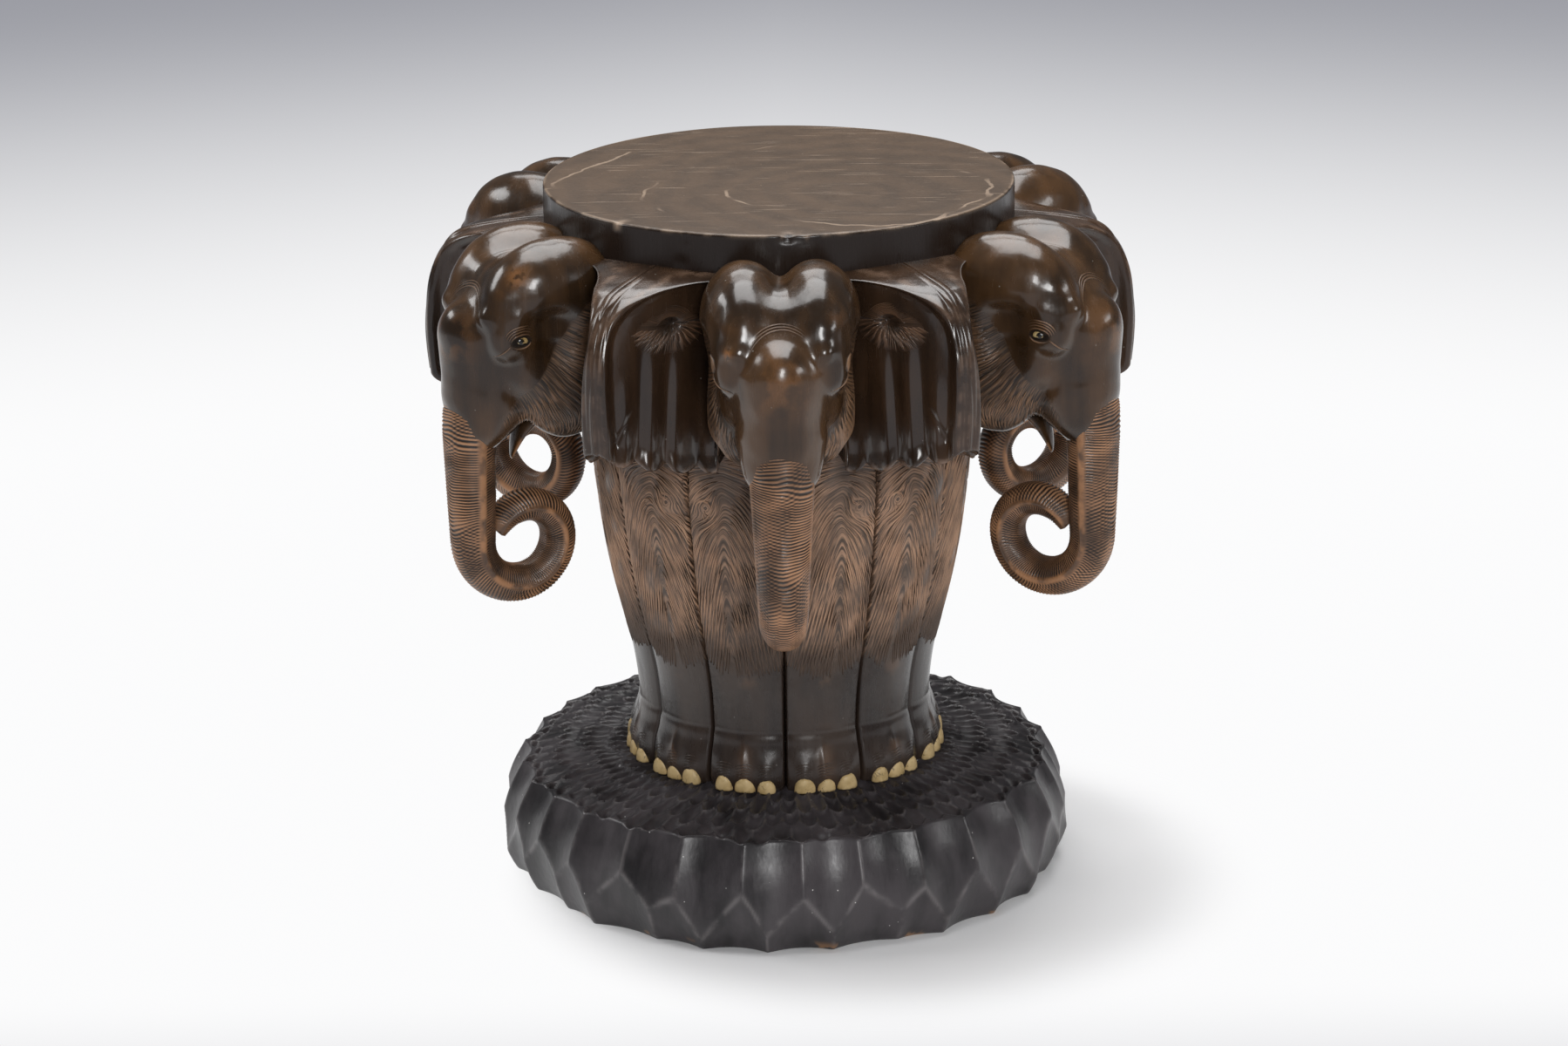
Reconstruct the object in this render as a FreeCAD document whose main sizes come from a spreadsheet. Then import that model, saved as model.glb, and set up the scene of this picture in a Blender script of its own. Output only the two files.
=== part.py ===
"""Round table carried by six carved elephants, as a parametric document.

Millimetres, +Z up. The origin is the middle of the plinth's underside. The elephants stand 60 degrees
apart and face outwards. Each carved piece is drawn once, in the elephant's own frame (X out of the
table, Y along the ring, Z up), and is then placed round the table's axis.
"""
import FreeCAD, Part
import Sketcher
import os
import re
from FreeCAD import Placement, Rotation, Vector

ELEPHANTS = 6
LEGS = 2 * ELEPHANTS
SCREWS = 3
FIRST_ELEPHANT_ANGLE = -90
SECTOR = 360 / ELEPHANTS
HALF_SECTOR = SECTOR / 2
HALF_LEG = 180 / LEGS
SIDES = {"left": -1, "right": 1}

SIZES = {
    "overall_height": 500,
    "glue_fit": 0.15,
    # The round top, and the post that carries it.
    "top_radius": 164,
    "top_thickness": 30,
    "top_edge_round": 2.5,
    "top_seat_fit": 0.3,
    "tenon_radius": 30,
    "top_tenon_length": 15,
    "base_tenon_length": 44,
    "tenon_end_room": 0.5,
    "leg_seat": 52,
    # The plinth, its two rows of gouge cuts and its screws.
    "base_height": 84,
    "base_shoulder_radius": 120,
    "base_rim_radius": 190,
    "base_rim_height": 77,
    "base_belly_radius": 204,
    "base_belly_height": 38,
    "base_foot_radius": 198,
    "gouge_count": 29,
    "gouge_radius": 64,
    "gouge_depth": 4.5,
    "screw_ring": 16,
    "screw_radius": 2.5,
    "screw_length": 62,
    "screw_head_radius": 5,
    "screw_head_height": 4,
    "screw_recess": 6,
    # The legs, from the feet up to the hem of the ears.
    "foot_radius": 113,
    "foot_height": 99,
    "leg_ankle_radius": 104,
    "leg_ankle_height": 118,
    "leg_shin_radius": 112,
    "leg_shin_height": 178,
    "leg_knee_radius": 127,
    "leg_knee_height": 243,
    "leg_top_radius": 136,
    "hem_below_top": 137,
    "leg_groove": 10,
    "leg_corner_angle": 12.9,
    "leg_corner_drop": 3,
    "nail_radius": 4.8,
    "nail_sink": 2,
    "nail_lift": 1,
    "nail_angle": 8.2,
    # The ears, with the shoulders behind them.
    "ear_root": 100,
    "ear_face": 216.5,
    "ear_below_top": 18,
    "shoulder_start": 169,
    "shoulder_below_top": 102,
    "shoulder_bulge": 18,
    "ear_dish": 3.5,
    "ear_dish_root": 166,
    "ear_rim": 11,
    "ear_arch_foot_below_top": 72,
    "ear_arch_below_top": 30,
    "ear_arch_bulge": 14,
    # The heads.
    "head_half_width": 54,
    "neck_reach": 174,
    "nape_reach": 190,
    "nape_thickness": 12,
    "lobe_margin": 1,
    "lobe_offset": 23,
    "lobe_setback": 7,
    "lobe_depth": 50,
    "lobe_drop": 47,
    "crown_below_top": 13,
    "face_back": 165,
    "brow_below_top": 44,
    "brow_reach": 247,
    "brow_half_width": 24,
    "snout_below_top": 80,
    "snout_reach": 259,
    "snout_half_width": 33,
    "muzzle_below_top": 122,
    "muzzle_reach": 261,
    "muzzle_half_width": 31,
    "chin_back": 214,
    "cheek_reach": 232,
    "cheek_depth": 32,
    "cheek_offset": 25,
    "cheek_half_width": 22,
    "cheek_below_top": 114,
    "cheek_half_height": 37,
    "lip_root": 198,
    "lip_below_top": 134,
    "lip_length": 40,
    "lip_root_radius": 13,
    "lip_tip_radius": 4,
    "lip_tilt": 28,
    "eye_turn": 53,
    "eye_dip": 18,
    "eye_radius": 4.5,
    "mound_depth": 15,
    "mound_half_width": 12,
    "mound_half_height": 17,
    "mound_setback": 4,
    "mound_sink": 9,
    "knob_radius": 10.5,
    "knob_setback": 18,
    "knob_offset": 27,
    "knob_below_top": 50,
    "temple_radius": 16,
    "temple_cut": 7,
    "temple_setback": 32,
    "root_radius": 20.5,
    "root_reach": 257,
    "root_below_top": 65,
    # The trunks: a stem, then three arcs that close the loop.
    "trunk_below_top": 148,
    "trunk_line": 245,
    "trunk_half_width": 20,
    "trunk_half_depth": 17,
    "stem_length": 76,
    "curl_front_radius": 35,
    "curl_back_radius": 30,
    "curl_tip_radius": 25,
    "tip_half_width": 13,
    "tip_half_depth": 11.5,
    "tip_gap": 3,
    # The dowels.
    "head_dowel_radius": 8,
    "head_dowel_length": 60,
    "head_dowel_below_top": 85,
    "trunk_dowel_radius": 5,
    "trunk_dowel_length": 32,
}

# Lengths that several pieces share, worked out from the driving dimensions.
SHARED = {
    "top_underside": "(overall_height - top_thickness)",
    "hem_height": "(overall_height - hem_below_top)",
    "ear_top": "(overall_height - ear_below_top)",
    "shoulder_low": "(overall_height - shoulder_below_top)",
    "ear_arch_low": "(overall_height - ear_arch_foot_below_top)",
    "ear_arch_high": "(overall_height - ear_arch_below_top)",
    "crown_height": "(overall_height - crown_below_top)",
    "brow_height": "(overall_height - brow_below_top)",
    "snout_height": "(overall_height - snout_below_top)",
    "muzzle_height": "(overall_height - muzzle_below_top)",
    "cheek_middle": "(overall_height - cheek_below_top)",
    "lip_root_height": "(overall_height - lip_below_top)",
    "trunk_top": "(overall_height - trunk_below_top)",
    "stem_end": "(trunk_top - stem_length)",
    "head_dowel_height": "(overall_height - head_dowel_below_top)",
    "drum_flat": f"(head_half_width / tan({HALF_SECTOR}))",
    "ear_corner": f"(ear_face * tan({HALF_SECTOR}))",
    "lobe_half_width": "(head_half_width - lobe_offset - lobe_margin)",
    "lobe_reach": "(brow_reach - lobe_setback)",
    "lobe_middle": "(lobe_reach - lobe_depth)",
    "lobe_height": "(crown_height - lobe_drop)",
    "eye_reach": "(lobe_middle + lobe_depth * sin(eye_turn) * cos(eye_dip))",
    "eye_offset": "(lobe_offset + lobe_half_width * cos(eye_turn) * cos(eye_dip))",
    "eye_height": "(lobe_height - lobe_drop * sin(eye_dip))",
    "nail_ring": "(foot_radius - nail_sink)",
    "nail_height": "(base_height + nail_radius + nail_lift)",
    "curl_middle": "(trunk_line - curl_front_radius)",
    "curl_bottom": "(stem_end - curl_front_radius)",
    "curl_height": "(curl_bottom + curl_back_radius)",
    "tip_middle": "(curl_middle - curl_back_radius + curl_tip_radius)",
    "tip_room": "(trunk_line - trunk_half_depth - tip_gap - tip_middle)",
    "tip_cosine": "(tip_room / (curl_tip_radius + tip_half_depth))",
    "tip_end": "(tip_middle + curl_tip_radius * tip_cosine)",
    "tip_height": "(curl_height + curl_tip_radius * sin(acos(tip_cosine)))",
    "screw_bottom": "(screw_recess - screw_head_height)",
    "beyond": "(2 * ear_face)",
}

doc = FreeCAD.newDocument("elephant_table")
sheet = doc.addObject("Spreadsheet::Sheet", "Sizes")
for row, (alias, value) in enumerate(SIZES.items(), 1):
    sheet.set(f"A{row}", alias)
    sheet.set(f"B{row}", str(value))
    sheet.setAlias(f"B{row}", alias)
doc.recompute()


def formula(text):
    """Write a formula of named sizes as an expression on the sheet's cells."""
    def cell(match):
        word = match.group(0)
        if word in SHARED:
            return formula(SHARED[word])
        return f"Sizes.{word}" if word in SIZES else word
    return re.sub(r"[a-z_]+", cell, text)


def measure(text):
    """Give the present value of a formula."""
    result = sheet.evalExpression(formula(text))
    return getattr(result, "Value", result)


def bind(item, **formulas):
    """Tie properties of an object to formulas of named sizes."""
    for name, text in formulas.items():
        item.setExpression(name, formula(text))


def put(item, x="0", y="0", z="0", axis=(0, 0, 1), turn="0"):
    """Place an object by formulas: a turn about one axis, then a move."""
    item.Placement = Placement(Vector(), Rotation(Vector(*axis), measure(turn)))
    for name, text in (("Base.x", x), ("Base.y", y), ("Base.z", z), ("Rotation.Angle", turn)):
        if text != "0":
            item.setExpression(f"Placement.{name}", formula(text))


def primitive(kind, name, place, **formulas):
    """Make a solid of one kind, with its sizes and its place tied to the sheet."""
    item = doc.addObject(f"Part::{kind}", name)
    bind(item, **formulas)
    put(item, **place)
    return item


def ellipsoid(name, half_depth, half_width, half_height, **place):
    """Make an ellipsoid with its half axes along X, Y and Z."""
    return primitive("Ellipsoid", name, place, Radius1=half_height, Radius2=half_depth, Radius3=half_width)


def fuse(name, *solids):
    """Join solids into one."""
    item = doc.addObject("Part::MultiFuse", name)
    item.Shapes = list(solids)
    return item


def group(name, *solids):
    """Keep solids together without joining them."""
    item = doc.addObject("Part::Compound", name)
    item.Links = list(solids)
    return item


def cut(name, base, *tools):
    """Cut tools out of a solid."""
    item = doc.addObject("Part::Cut", name)
    item.Base = base
    item.Tool = fuse(f"{name}_tools", *tools) if len(tools) > 1 else tools[0]
    return item


def placed(name, source, angle):
    """Place a copy of a piece, turned about the table's axis."""
    item = group(name, source)
    item.Placement = Placement(Vector(), Rotation(Vector(0, 0, 1), angle))
    return item


def elephant_angle(number):
    """Angle about the table's axis at which an elephant faces outwards."""
    return FIRST_ELEPHANT_ANGLE + number * SECTOR


def fix_point(sketch, edge, end, texts):
    """Hold one point of a sketch at a pair of formulas."""
    for kind, text in zip(("DistanceX", "DistanceY"), texts):
        number = sketch.addConstraint(Sketcher.Constraint(kind, edge, end, measure(text)))
        if text != "0":
            sketch.setExpression(f"Constraints[{number}]", formula(text))


def fix_radius(sketch, edge, text):
    """Hold the radius of an arc or circle of a sketch at a formula."""
    number = sketch.addConstraint(Sketcher.Constraint("Radius", edge, measure(text)))
    sketch.setExpression(f"Constraints[{number}]", formula(text))


def outline(sketch, corners):
    """Draw a closed outline, anticlockwise, whose corners are pairs of formulas.

    A corner with four formulas starts an arc that passes through the point of its second pair.
    """
    points = [[measure(text) for text in corner] for corner in corners]
    edges = []
    for here, there in zip(points, points[1:] + points[:1]):
        start, stop = Vector(*here[:2]), Vector(*there[:2])
        through = [Vector(*here[2:])] if len(here) == 4 else []
        curve = Part.ArcOfCircle(start, *through, stop) if through else Part.LineSegment(start, stop)
        edges.append(sketch.addGeometry(curve, False))
    for edge, following in zip(edges, edges[1:] + edges[:1]):
        sketch.addConstraint(Sketcher.Constraint("Coincident", edge, 2, following, 1))
    for edge, corner in zip(edges, corners):
        fix_point(sketch, edge, 1, corner[:2])
        if len(corner) == 4:
            mark = sketch.addGeometry(Part.Point(Vector(*[measure(text) for text in corner[2:]])), True)
            fix_point(sketch, mark, 1, corner[2:])
            sketch.addConstraint(Sketcher.Constraint("PointOnObject", mark, 1, edge))
    return sketch


def free_sketch(name, corners, **place):
    """Draw an outline on the ground plane and place it by formulas."""
    sketch = outline(doc.addObject("Sketcher::SketchObject", name), corners)
    put(sketch, **place)
    return sketch


def prism(sketch, length):
    """Carry a free sketch along its normal, over a length given by a formula."""
    item = doc.addObject("Part::Extrusion", f"{sketch.Name}_prism")
    item.Base = sketch
    item.DirMode = "Normal"
    item.Solid = True
    bind(item, LengthFwd=length)
    return item


def body_plane_sketch(body, name, role, lift):
    """Start a sketch on one of a body's own planes, lifted off it by a formula."""
    sketch = body.newObject("Sketcher::SketchObject", name)
    plane = next(item for item in body.Origin.OriginFeatures if item.Role == role)
    sketch.AttachmentSupport = (plane, "")
    sketch.MapMode = "FlatFace"
    sketch.setExpression("AttachmentOffset.Base.z", formula(lift))
    return sketch


def body_sketch(body, name, role, corners, lift="0"):
    """Draw an outline on one of a body's own planes."""
    return outline(body_plane_sketch(body, name, role, lift), corners)


def circle_sketch(body, name, radius, lift="0", offset="0"):
    """Draw a circle on a body's ground plane, moved along X by a formula."""
    sketch = body_plane_sketch(body, name, "XY_Plane", lift)
    circle = Part.Circle(Vector(measure(offset), 0, 0), Vector(0, 0, 1), measure(radius))
    edge = sketch.addGeometry(circle, False)
    fix_point(sketch, edge, 3, (offset, "0"))
    fix_radius(sketch, edge, radius)
    return sketch


def extrude(body, kind, sketch, length, backwards=False):
    """Pad a sketch onto its body, or pocket it out of it, over a length given by a formula."""
    feature = body.newObject(f"PartDesign::{kind}", f"{sketch.Name}_{kind.lower()}")
    feature.Profile = sketch
    feature.Reversed = backwards
    bind(feature, Length=length)
    doc.recompute()
    return feature


def ring_of(body, feature, count):
    """Repeat a feature of a body evenly round the table's axis."""
    pattern = body.newObject("PartDesign::PolarPattern", f"{feature.Name}_ring")
    pattern.Originals = [feature]
    axis = next(item for item in body.Origin.OriginFeatures if item.Role == "Z_Axis")
    pattern.Axis = (axis, [""])
    pattern.Angle = 360
    bind(pattern, Occurrences=count)
    body.Tip = pattern
    doc.recompute()


def gouge_row(body, name, side, low_radius, low_height, high_radius, high_height):
    """Cut a row of round gouge marks along a flank of the plinth, from its low to its high edge."""
    lean = f"atan(({low_radius} - {high_radius}) / ({high_height} - {low_height}))"
    gap = "(gouge_radius - gouge_depth)"
    tool = body.newObject("PartDesign::SubtractiveCylinder", name)
    bind(tool, Radius="gouge_radius", Height="4 * base_height")
    put(tool, x=f"{side} * ({low_radius} + {gap} * cos({lean}) + 2 * base_height * sin({lean}))",
        z=f"{low_height} + {gap} * sin({lean}) - 2 * base_height * cos({lean})",
        axis=(0, 1, 0), turn=f"{-side} * {lean}")
    doc.recompute()
    ring_of(body, tool, "gouge_count")


def plinth():
    """Turned disc with a sloping top, two rows of gouge marks, a mortise and screw holes.

    The lower row starts on the far side of the axis, which staggers it by half a mark where the number
    of marks is odd.
    """
    body = doc.addObject("PartDesign::Body", "base_plinth")
    profile = body_sketch(body, "plinth_profile", "XZ_Plane", [
        ("0", "0"),
        ("base_foot_radius", "0"),
        ("base_belly_radius", "base_belly_height"),
        ("base_rim_radius", "base_rim_height"),
        ("base_shoulder_radius", "base_height"),
        ("0", "base_height"),
    ])
    turned = body.newObject("PartDesign::Revolution", "plinth_turned")
    turned.Profile = profile
    turned.ReferenceAxis = (profile, ["V_Axis"])
    turned.Angle = 360
    doc.recompute()
    mortise = circle_sketch(body, "plinth_mortise", "tenon_radius + glue_fit", lift="base_height")
    extrude(body, "Pocket", mortise, "base_tenon_length + tenon_end_room")
    bore = circle_sketch(body, "screw_bore", "screw_radius + glue_fit", offset="screw_ring")
    ring_of(body, extrude(body, "Pocket", bore, "base_height", backwards=True), f"{SCREWS}")
    recess = circle_sketch(body, "screw_recess_bore", "screw_head_radius + glue_fit", offset="screw_ring")
    ring_of(body, extrude(body, "Pocket", recess, "screw_recess", backwards=True), f"{SCREWS}")
    gouge_row(body, "upper_gouge", 1, "base_belly_radius", "base_belly_height",
              "base_rim_radius", "base_rim_height")
    gouge_row(body, "lower_gouge", -1, "base_foot_radius", "0", "base_belly_radius", "base_belly_height")
    return body


def screw(name, spare="0"):
    """Shank of a plinth screw, or with some spare size its hole in the post."""
    return primitive("Cylinder", name, dict(x="screw_ring", z="screw_bottom"),
                     Radius=f"screw_radius + {spare}", Height=f"screw_length + {spare}")


def screws():
    """Screws that hold the plinth to the post from below."""
    cap = primitive("Cylinder", "screw_cap", dict(x="screw_ring", z="screw_bottom"),
                    Radius="screw_head_radius", Height="screw_head_height")
    whole = fuse("screw_whole", cap, screw("screw_shank"))
    return group("base_screws", *[placed(f"screw_{n}", whole, n * 360 / SCREWS) for n in range(SCREWS)])


def core():
    """Post: a twelve-sided shaft for the legs, a six-sided drum for the heads, a tenon at each end."""
    shaft = primitive("Prism", "core_shaft", dict(z="base_height"),
                      Circumradius=f"leg_seat / cos({HALF_LEG})", Height="hem_height - base_height")
    shaft.Polygon = LEGS
    drum = primitive("Prism", "core_drum", dict(z="hem_height"),
                     Circumradius=f"drum_flat / cos({HALF_SECTOR})", Height="top_underside - hem_height")
    drum.Polygon = ELEPHANTS
    lower = primitive("Cylinder", "core_base_tenon", dict(z="base_height - base_tenon_length"),
                      Radius="tenon_radius", Height="base_tenon_length")
    upper = primitive("Cylinder", "core_top_tenon", dict(z="top_underside"),
                      Radius="tenon_radius", Height="top_tenon_length")
    joined = fuse("core_joined", shaft, drum, lower, upper)
    bore = head_dowel("core_dowel_bore", "glue_fit")
    pilot = screw("core_pilot_bore", "glue_fit")
    bores = [placed(f"core_dowel_hole_{n}", bore, elephant_angle(n)) for n in range(ELEPHANTS)]
    pilots = [placed(f"core_pilot_{n}", pilot, n * 360 / SCREWS) for n in range(SCREWS)]
    return cut("column_core", joined, *bores, *pilots)


def top():
    """Round top with a softened edge and a mortise underneath."""
    body = doc.addObject("PartDesign::Body", "top_disc")
    board = extrude(body, "Pad", circle_sketch(body, "top_outline", "top_radius", lift="top_underside"),
                    "top_thickness")
    upper_face = max(range(len(board.Shape.Faces)), key=lambda n: board.Shape.Faces[n].CenterOfMass.z)
    edge = body.newObject("PartDesign::Fillet", "top_edge")
    edge.Base = (board, [f"Face{upper_face + 1}"])
    bind(edge, Radius="top_edge_round")
    doc.recompute()
    mortise = circle_sketch(body, "top_mortise", "tenon_radius + glue_fit", lift="top_underside")
    extrude(body, "Pocket", mortise, "top_tenon_length + tenon_end_room", backwards=True)
    return body


def leg_section(name, radius, height):
    """Slice of a leg: flat sides and back, and a round front cut off at its corners for the grooves."""
    edge, corner = f"({radius} - leg_groove)", f"({radius} - leg_corner_drop)"
    return free_sketch(name, [
        ("leg_seat", f"-leg_seat * tan({HALF_LEG})"),
        (f"{edge} * cos({HALF_LEG})", f"-{edge} * sin({HALF_LEG})"),
        (f"{corner} * cos(leg_corner_angle)", f"-{corner} * sin(leg_corner_angle)", radius, "0"),
        (f"{corner} * cos(leg_corner_angle)", f"{corner} * sin(leg_corner_angle)"),
        (f"{edge} * cos({HALF_LEG})", f"{edge} * sin({HALF_LEG})"),
        ("leg_seat", f"leg_seat * tan({HALF_LEG})"),
    ], z=height)


def nails(name, spare="0"):
    """Three toenails of one foot, or with some spare size their sockets."""
    return [primitive("Sphere", f"{name}_{step + 2}",
                      dict(x=f"nail_ring * cos({step} * nail_angle)",
                           y=f"nail_ring * sin({step} * nail_angle)",
                           z="nail_height", axis=(0, 1, 0), turn="90"), Radius=f"nail_radius + {spare}")
            for step in (-1, 0, 1)]


def leg():
    """One front leg, lofted from the hem down to the foot, with a socket for each toenail."""
    loft = doc.addObject("Part::Loft", "leg_loft")
    loft.Sections = [
        leg_section("leg_crown", "leg_top_radius", "hem_height"),
        leg_section("leg_knee", "leg_knee_radius", "leg_knee_height"),
        leg_section("leg_shin", "leg_shin_radius", "leg_shin_height"),
        leg_section("leg_ankle", "leg_ankle_radius", "leg_ankle_height"),
        leg_section("foot_crown", "foot_radius", "foot_height"),
        leg_section("foot_sole", "foot_radius", "base_height"),
    ]
    loft.Solid = True
    loft.Ruled = True
    return cut("leg_shape", loft, *nails("nail_socket", "glue_fit"))


def ear_dish():
    """Room inside an ear: an arch seen from the front, which deepens from the rim to the head."""
    rim, floor = "(ear_corner - ear_rim)", "(ear_face - ear_dish)"
    arch = prism(free_sketch("dish_arch", [
        ("0", "0"),
        (rim, "0"),
        (rim, "ear_arch_low", f"({rim} + head_half_width) / 2 + ear_arch_bulge",
         "(ear_arch_low + ear_arch_high) / 2 + ear_arch_bulge"),
        ("head_half_width", "ear_arch_high"),
        ("0", "ear_arch_high"),
    ], axis=(1, 1, 1), turn="120"), "beyond")
    wedge = prism(free_sketch("dish_wedge", [
        ("ear_dish_root", "0"), ("beyond", "0"), ("beyond", rim), (floor, rim),
        ("ear_dish_root", "head_half_width"),
    ]), "overall_height")
    room = doc.addObject("Part::MultiCommon", "dish_room")
    room.Shapes = [arch, wedge]
    return room


def ear():
    """Ear flap and shoulder: a profile carried along the ring, cut off at the head and at the corner.

    The dish inside the ear's arched rim is sunk into the flap, and the round top is let in above.
    """
    body = doc.addObject("PartDesign::Body", "ear_blank")
    width, height = "(ear_face - shoulder_start)", "(ear_top - shoulder_low)"
    bulge = f"shoulder_bulge / hypot({width}; {height})"
    profile = body_sketch(body, "ear_profile", "XZ_Plane", [
        ("ear_root", "hem_height"),
        ("ear_face", "hem_height"),
        ("ear_face", "shoulder_low", f"(shoulder_start + ear_face) / 2 + {height} * {bulge}",
         f"(ear_top + shoulder_low) / 2 + {width} * {bulge}"),
        ("shoulder_start", "ear_top"),
        ("ear_root", "ear_top"),
    ])
    extrude(body, "Pad", profile, "ear_face", backwards=True)
    past_corner = body_sketch(body, "past_corner", "XY_Plane", [
        ("0", "0"), ("beyond", f"beyond * tan({HALF_SECTOR})"), ("beyond", "beyond"), ("0", "beyond")])
    extrude(body, "Pocket", past_corner, "overall_height", backwards=True)
    past_head = body_sketch(body, "past_head", "XY_Plane", [
        ("0", "-head_half_width"), ("beyond", "-head_half_width"),
        ("beyond", "head_half_width"), ("0", "head_half_width")])
    extrude(body, "Pocket", past_head, "overall_height", backwards=True)
    seat = circle_sketch(body, "ear_top_seat", "top_radius + top_seat_fit", lift="top_underside")
    extrude(body, "Pocket", seat, "overall_height", backwards=True)
    return cut("ear_shape", body, ear_dish())


def mirrored(name, source):
    """Mirror a piece to the elephant's other side."""
    item = doc.addObject("Part::Mirroring", name)
    item.Source = source
    item.Normal = Vector(0, 1, 0)
    return item


def face_section(name, height, reach, half_width, back):
    """Slice of the face: straight sides and a round front."""
    return free_sketch(name, [
        (back, f"-{half_width}"),
        (f"{reach} - {half_width}", f"-{half_width}", reach, "0"),
        (f"{reach} - {half_width}", half_width),
        (back, half_width),
    ], z=height)


def face():
    """Forehead, snout and muzzle, lofted down to the root of the trunk."""
    loft = doc.addObject("Part::Loft", "face_loft")
    loft.Sections = [
        face_section("face_brow", "brow_height", "brow_reach", "brow_half_width", "face_back"),
        face_section("face_snout", "snout_height", "snout_reach", "snout_half_width", "face_back"),
        face_section("face_muzzle", "muzzle_height", "muzzle_reach", "muzzle_half_width", "face_back"),
        face_section("face_root", "trunk_top", "(trunk_line + trunk_half_depth)", "trunk_half_width",
                     "chin_back"),
    ]
    loft.Solid = True
    return loft


def eye(name, side, spare="0"):
    """Eye bead on the flank of a skull lobe, or with some spare size its socket."""
    place = dict(x="eye_reach", y=f"{SIDES[side]} * eye_offset", z="eye_height", axis=(1, 0, 0), turn="90")
    return primitive("Sphere", f"{name}_{side}", place, Radius=f"eye_radius + {spare}")


def head_dowel(name, spare="0"):
    """Dowel from the post into a head, or with some spare size its hole."""
    return primitive("Cylinder", name,
                     dict(x=f"drum_flat - head_dowel_length / 2 - {spare}", z="head_dowel_height",
                          axis=(0, 1, 0), turn="90"),
                     Radius=f"head_dowel_radius + {spare}", Height=f"head_dowel_length + 2 * {spare}")


def trunk_dowel(name, spare="0"):
    """Dowel from a trunk up into the snout, or with some spare size its hole."""
    return primitive("Cylinder", name,
                     dict(x="trunk_line", z=f"trunk_top - trunk_dowel_length / 2 - {spare}"),
                     Radius=f"trunk_dowel_radius + {spare}", Height=f"trunk_dowel_length + 2 * {spare}")


def flank(side):
    """Forms of one side of a head: skull lobe, cheek, eye mound and brow knob."""
    sign = SIDES[side]
    lobe = ellipsoid(f"lobe_{side}", "lobe_depth", "lobe_half_width", "lobe_drop",
                     x="lobe_middle", y=f"{sign} * lobe_offset", z="lobe_height")
    cheek = ellipsoid(f"cheek_{side}", "cheek_depth", "cheek_half_width", "cheek_half_height",
                      x="cheek_reach - cheek_depth", y=f"{sign} * cheek_offset", z="cheek_middle")
    mound = ellipsoid(f"eye_mound_{side}", "mound_depth", "mound_half_width", "mound_half_height",
                      x="eye_reach - mound_setback", y=f"{sign} * (eye_offset - mound_sink)", z="eye_height")
    knob = primitive("Sphere", f"brow_knob_{side}",
                     dict(x="brow_reach - knob_setback", y=f"{sign} * knob_offset",
                          z="overall_height - knob_below_top"), Radius="knob_radius")
    return [lobe, cheek, mound, knob]


def temple(side):
    """Round hollow behind an eye."""
    reach = "(lobe_offset + lobe_half_width + temple_radius - temple_cut)"
    place = dict(x="lobe_reach - temple_setback", y=f"{SIDES[side]} * {reach}", z="lobe_height",
                 axis=(1, 0, 0), turn="90")
    return primitive("Sphere", f"temple_{side}", place, Radius="temple_radius")


def head():
    """Neck and nape, face, trunk root, lower lip and both flanks, cut for what the head holds."""
    neck = primitive("Box", "neck", dict(x="drum_flat", y="-head_half_width", z="hem_height"),
                     Length="neck_reach - drum_flat", Width="2 * head_half_width",
                     Height="top_underside - hem_height")
    nape = primitive("Box", "nape",
                     dict(x="drum_flat", y="-head_half_width", z="top_underside - nape_thickness"),
                     Length="nape_reach - drum_flat", Width="2 * head_half_width", Height="nape_thickness")
    lip = primitive("Cone", "lower_lip",
                    dict(x="lip_root", z="lip_root_height", axis=(0, 1, 0), turn="180 - lip_tilt"),
                    Radius1="lip_root_radius", Radius2="lip_tip_radius", Height="lip_length")
    root = primitive("Sphere", "trunk_root",
                     dict(x="root_reach - root_radius", z="overall_height - root_below_top"),
                     Radius="root_radius")
    forms = [neck, nape, face(), root, lip]
    for side in SIDES:
        forms += flank(side)
    seat = primitive("Cylinder", "head_top_seat", dict(z="top_underside"),
                     Radius="top_radius + top_seat_fit", Height="overall_height")
    hollows = [temple(side) for side in SIDES] + [eye("eye_socket", side, "glue_fit") for side in SIDES]
    return cut("head_shape", fuse("head_joined", *forms), seat, *hollows,
               head_dowel("head_dowel_hole", "glue_fit"), trunk_dowel("snout_dowel_hole", "glue_fit"))


def trunk_path():
    """Centreline of a trunk: the stem, then the front, back and tip arcs, each tangent to the last."""
    path = doc.addObject("Sketcher::SketchObject", "trunk_path")
    path.Placement = Placement(Vector(), Rotation(Vector(1, 0, 0), 90))
    top_end = ("trunk_line", "trunk_top")
    stem_end = ("trunk_line", "stem_end")
    arcs = (
        ("curl_front_radius", "curl_middle", "stem_end", ("curl_middle", "curl_bottom")),
        ("curl_back_radius", "curl_middle", "curl_height", ("curl_middle - curl_back_radius", "curl_height")),
        ("curl_tip_radius", "tip_middle", "curl_height", ("tip_end", "tip_height")),
    )
    points = [Vector(*map(measure, end)) for end in (top_end, stem_end)]
    last = path.addGeometry(Part.LineSegment(*points), False)
    fix_point(path, last, 1, top_end)
    fix_point(path, last, 2, stem_end)
    joint = 2
    for radius, x, z, end in arcs:
        middle = Vector(measure(x), measure(z))
        stop = Vector(*map(measure, end))
        halfway = (points[-1] + stop) * 0.5 - middle
        through = middle + halfway * (measure(radius) / halfway.Length)
        edge = path.addGeometry(Part.ArcOfCircle(stop, through, points[-1]), False)
        path.addConstraint(Sketcher.Constraint("Coincident", edge, 2, last, joint))
        fix_point(path, edge, 1, end)
        fix_radius(path, edge, radius)
        points.append(stop)
        last, joint = edge, 1
    return path


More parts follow.
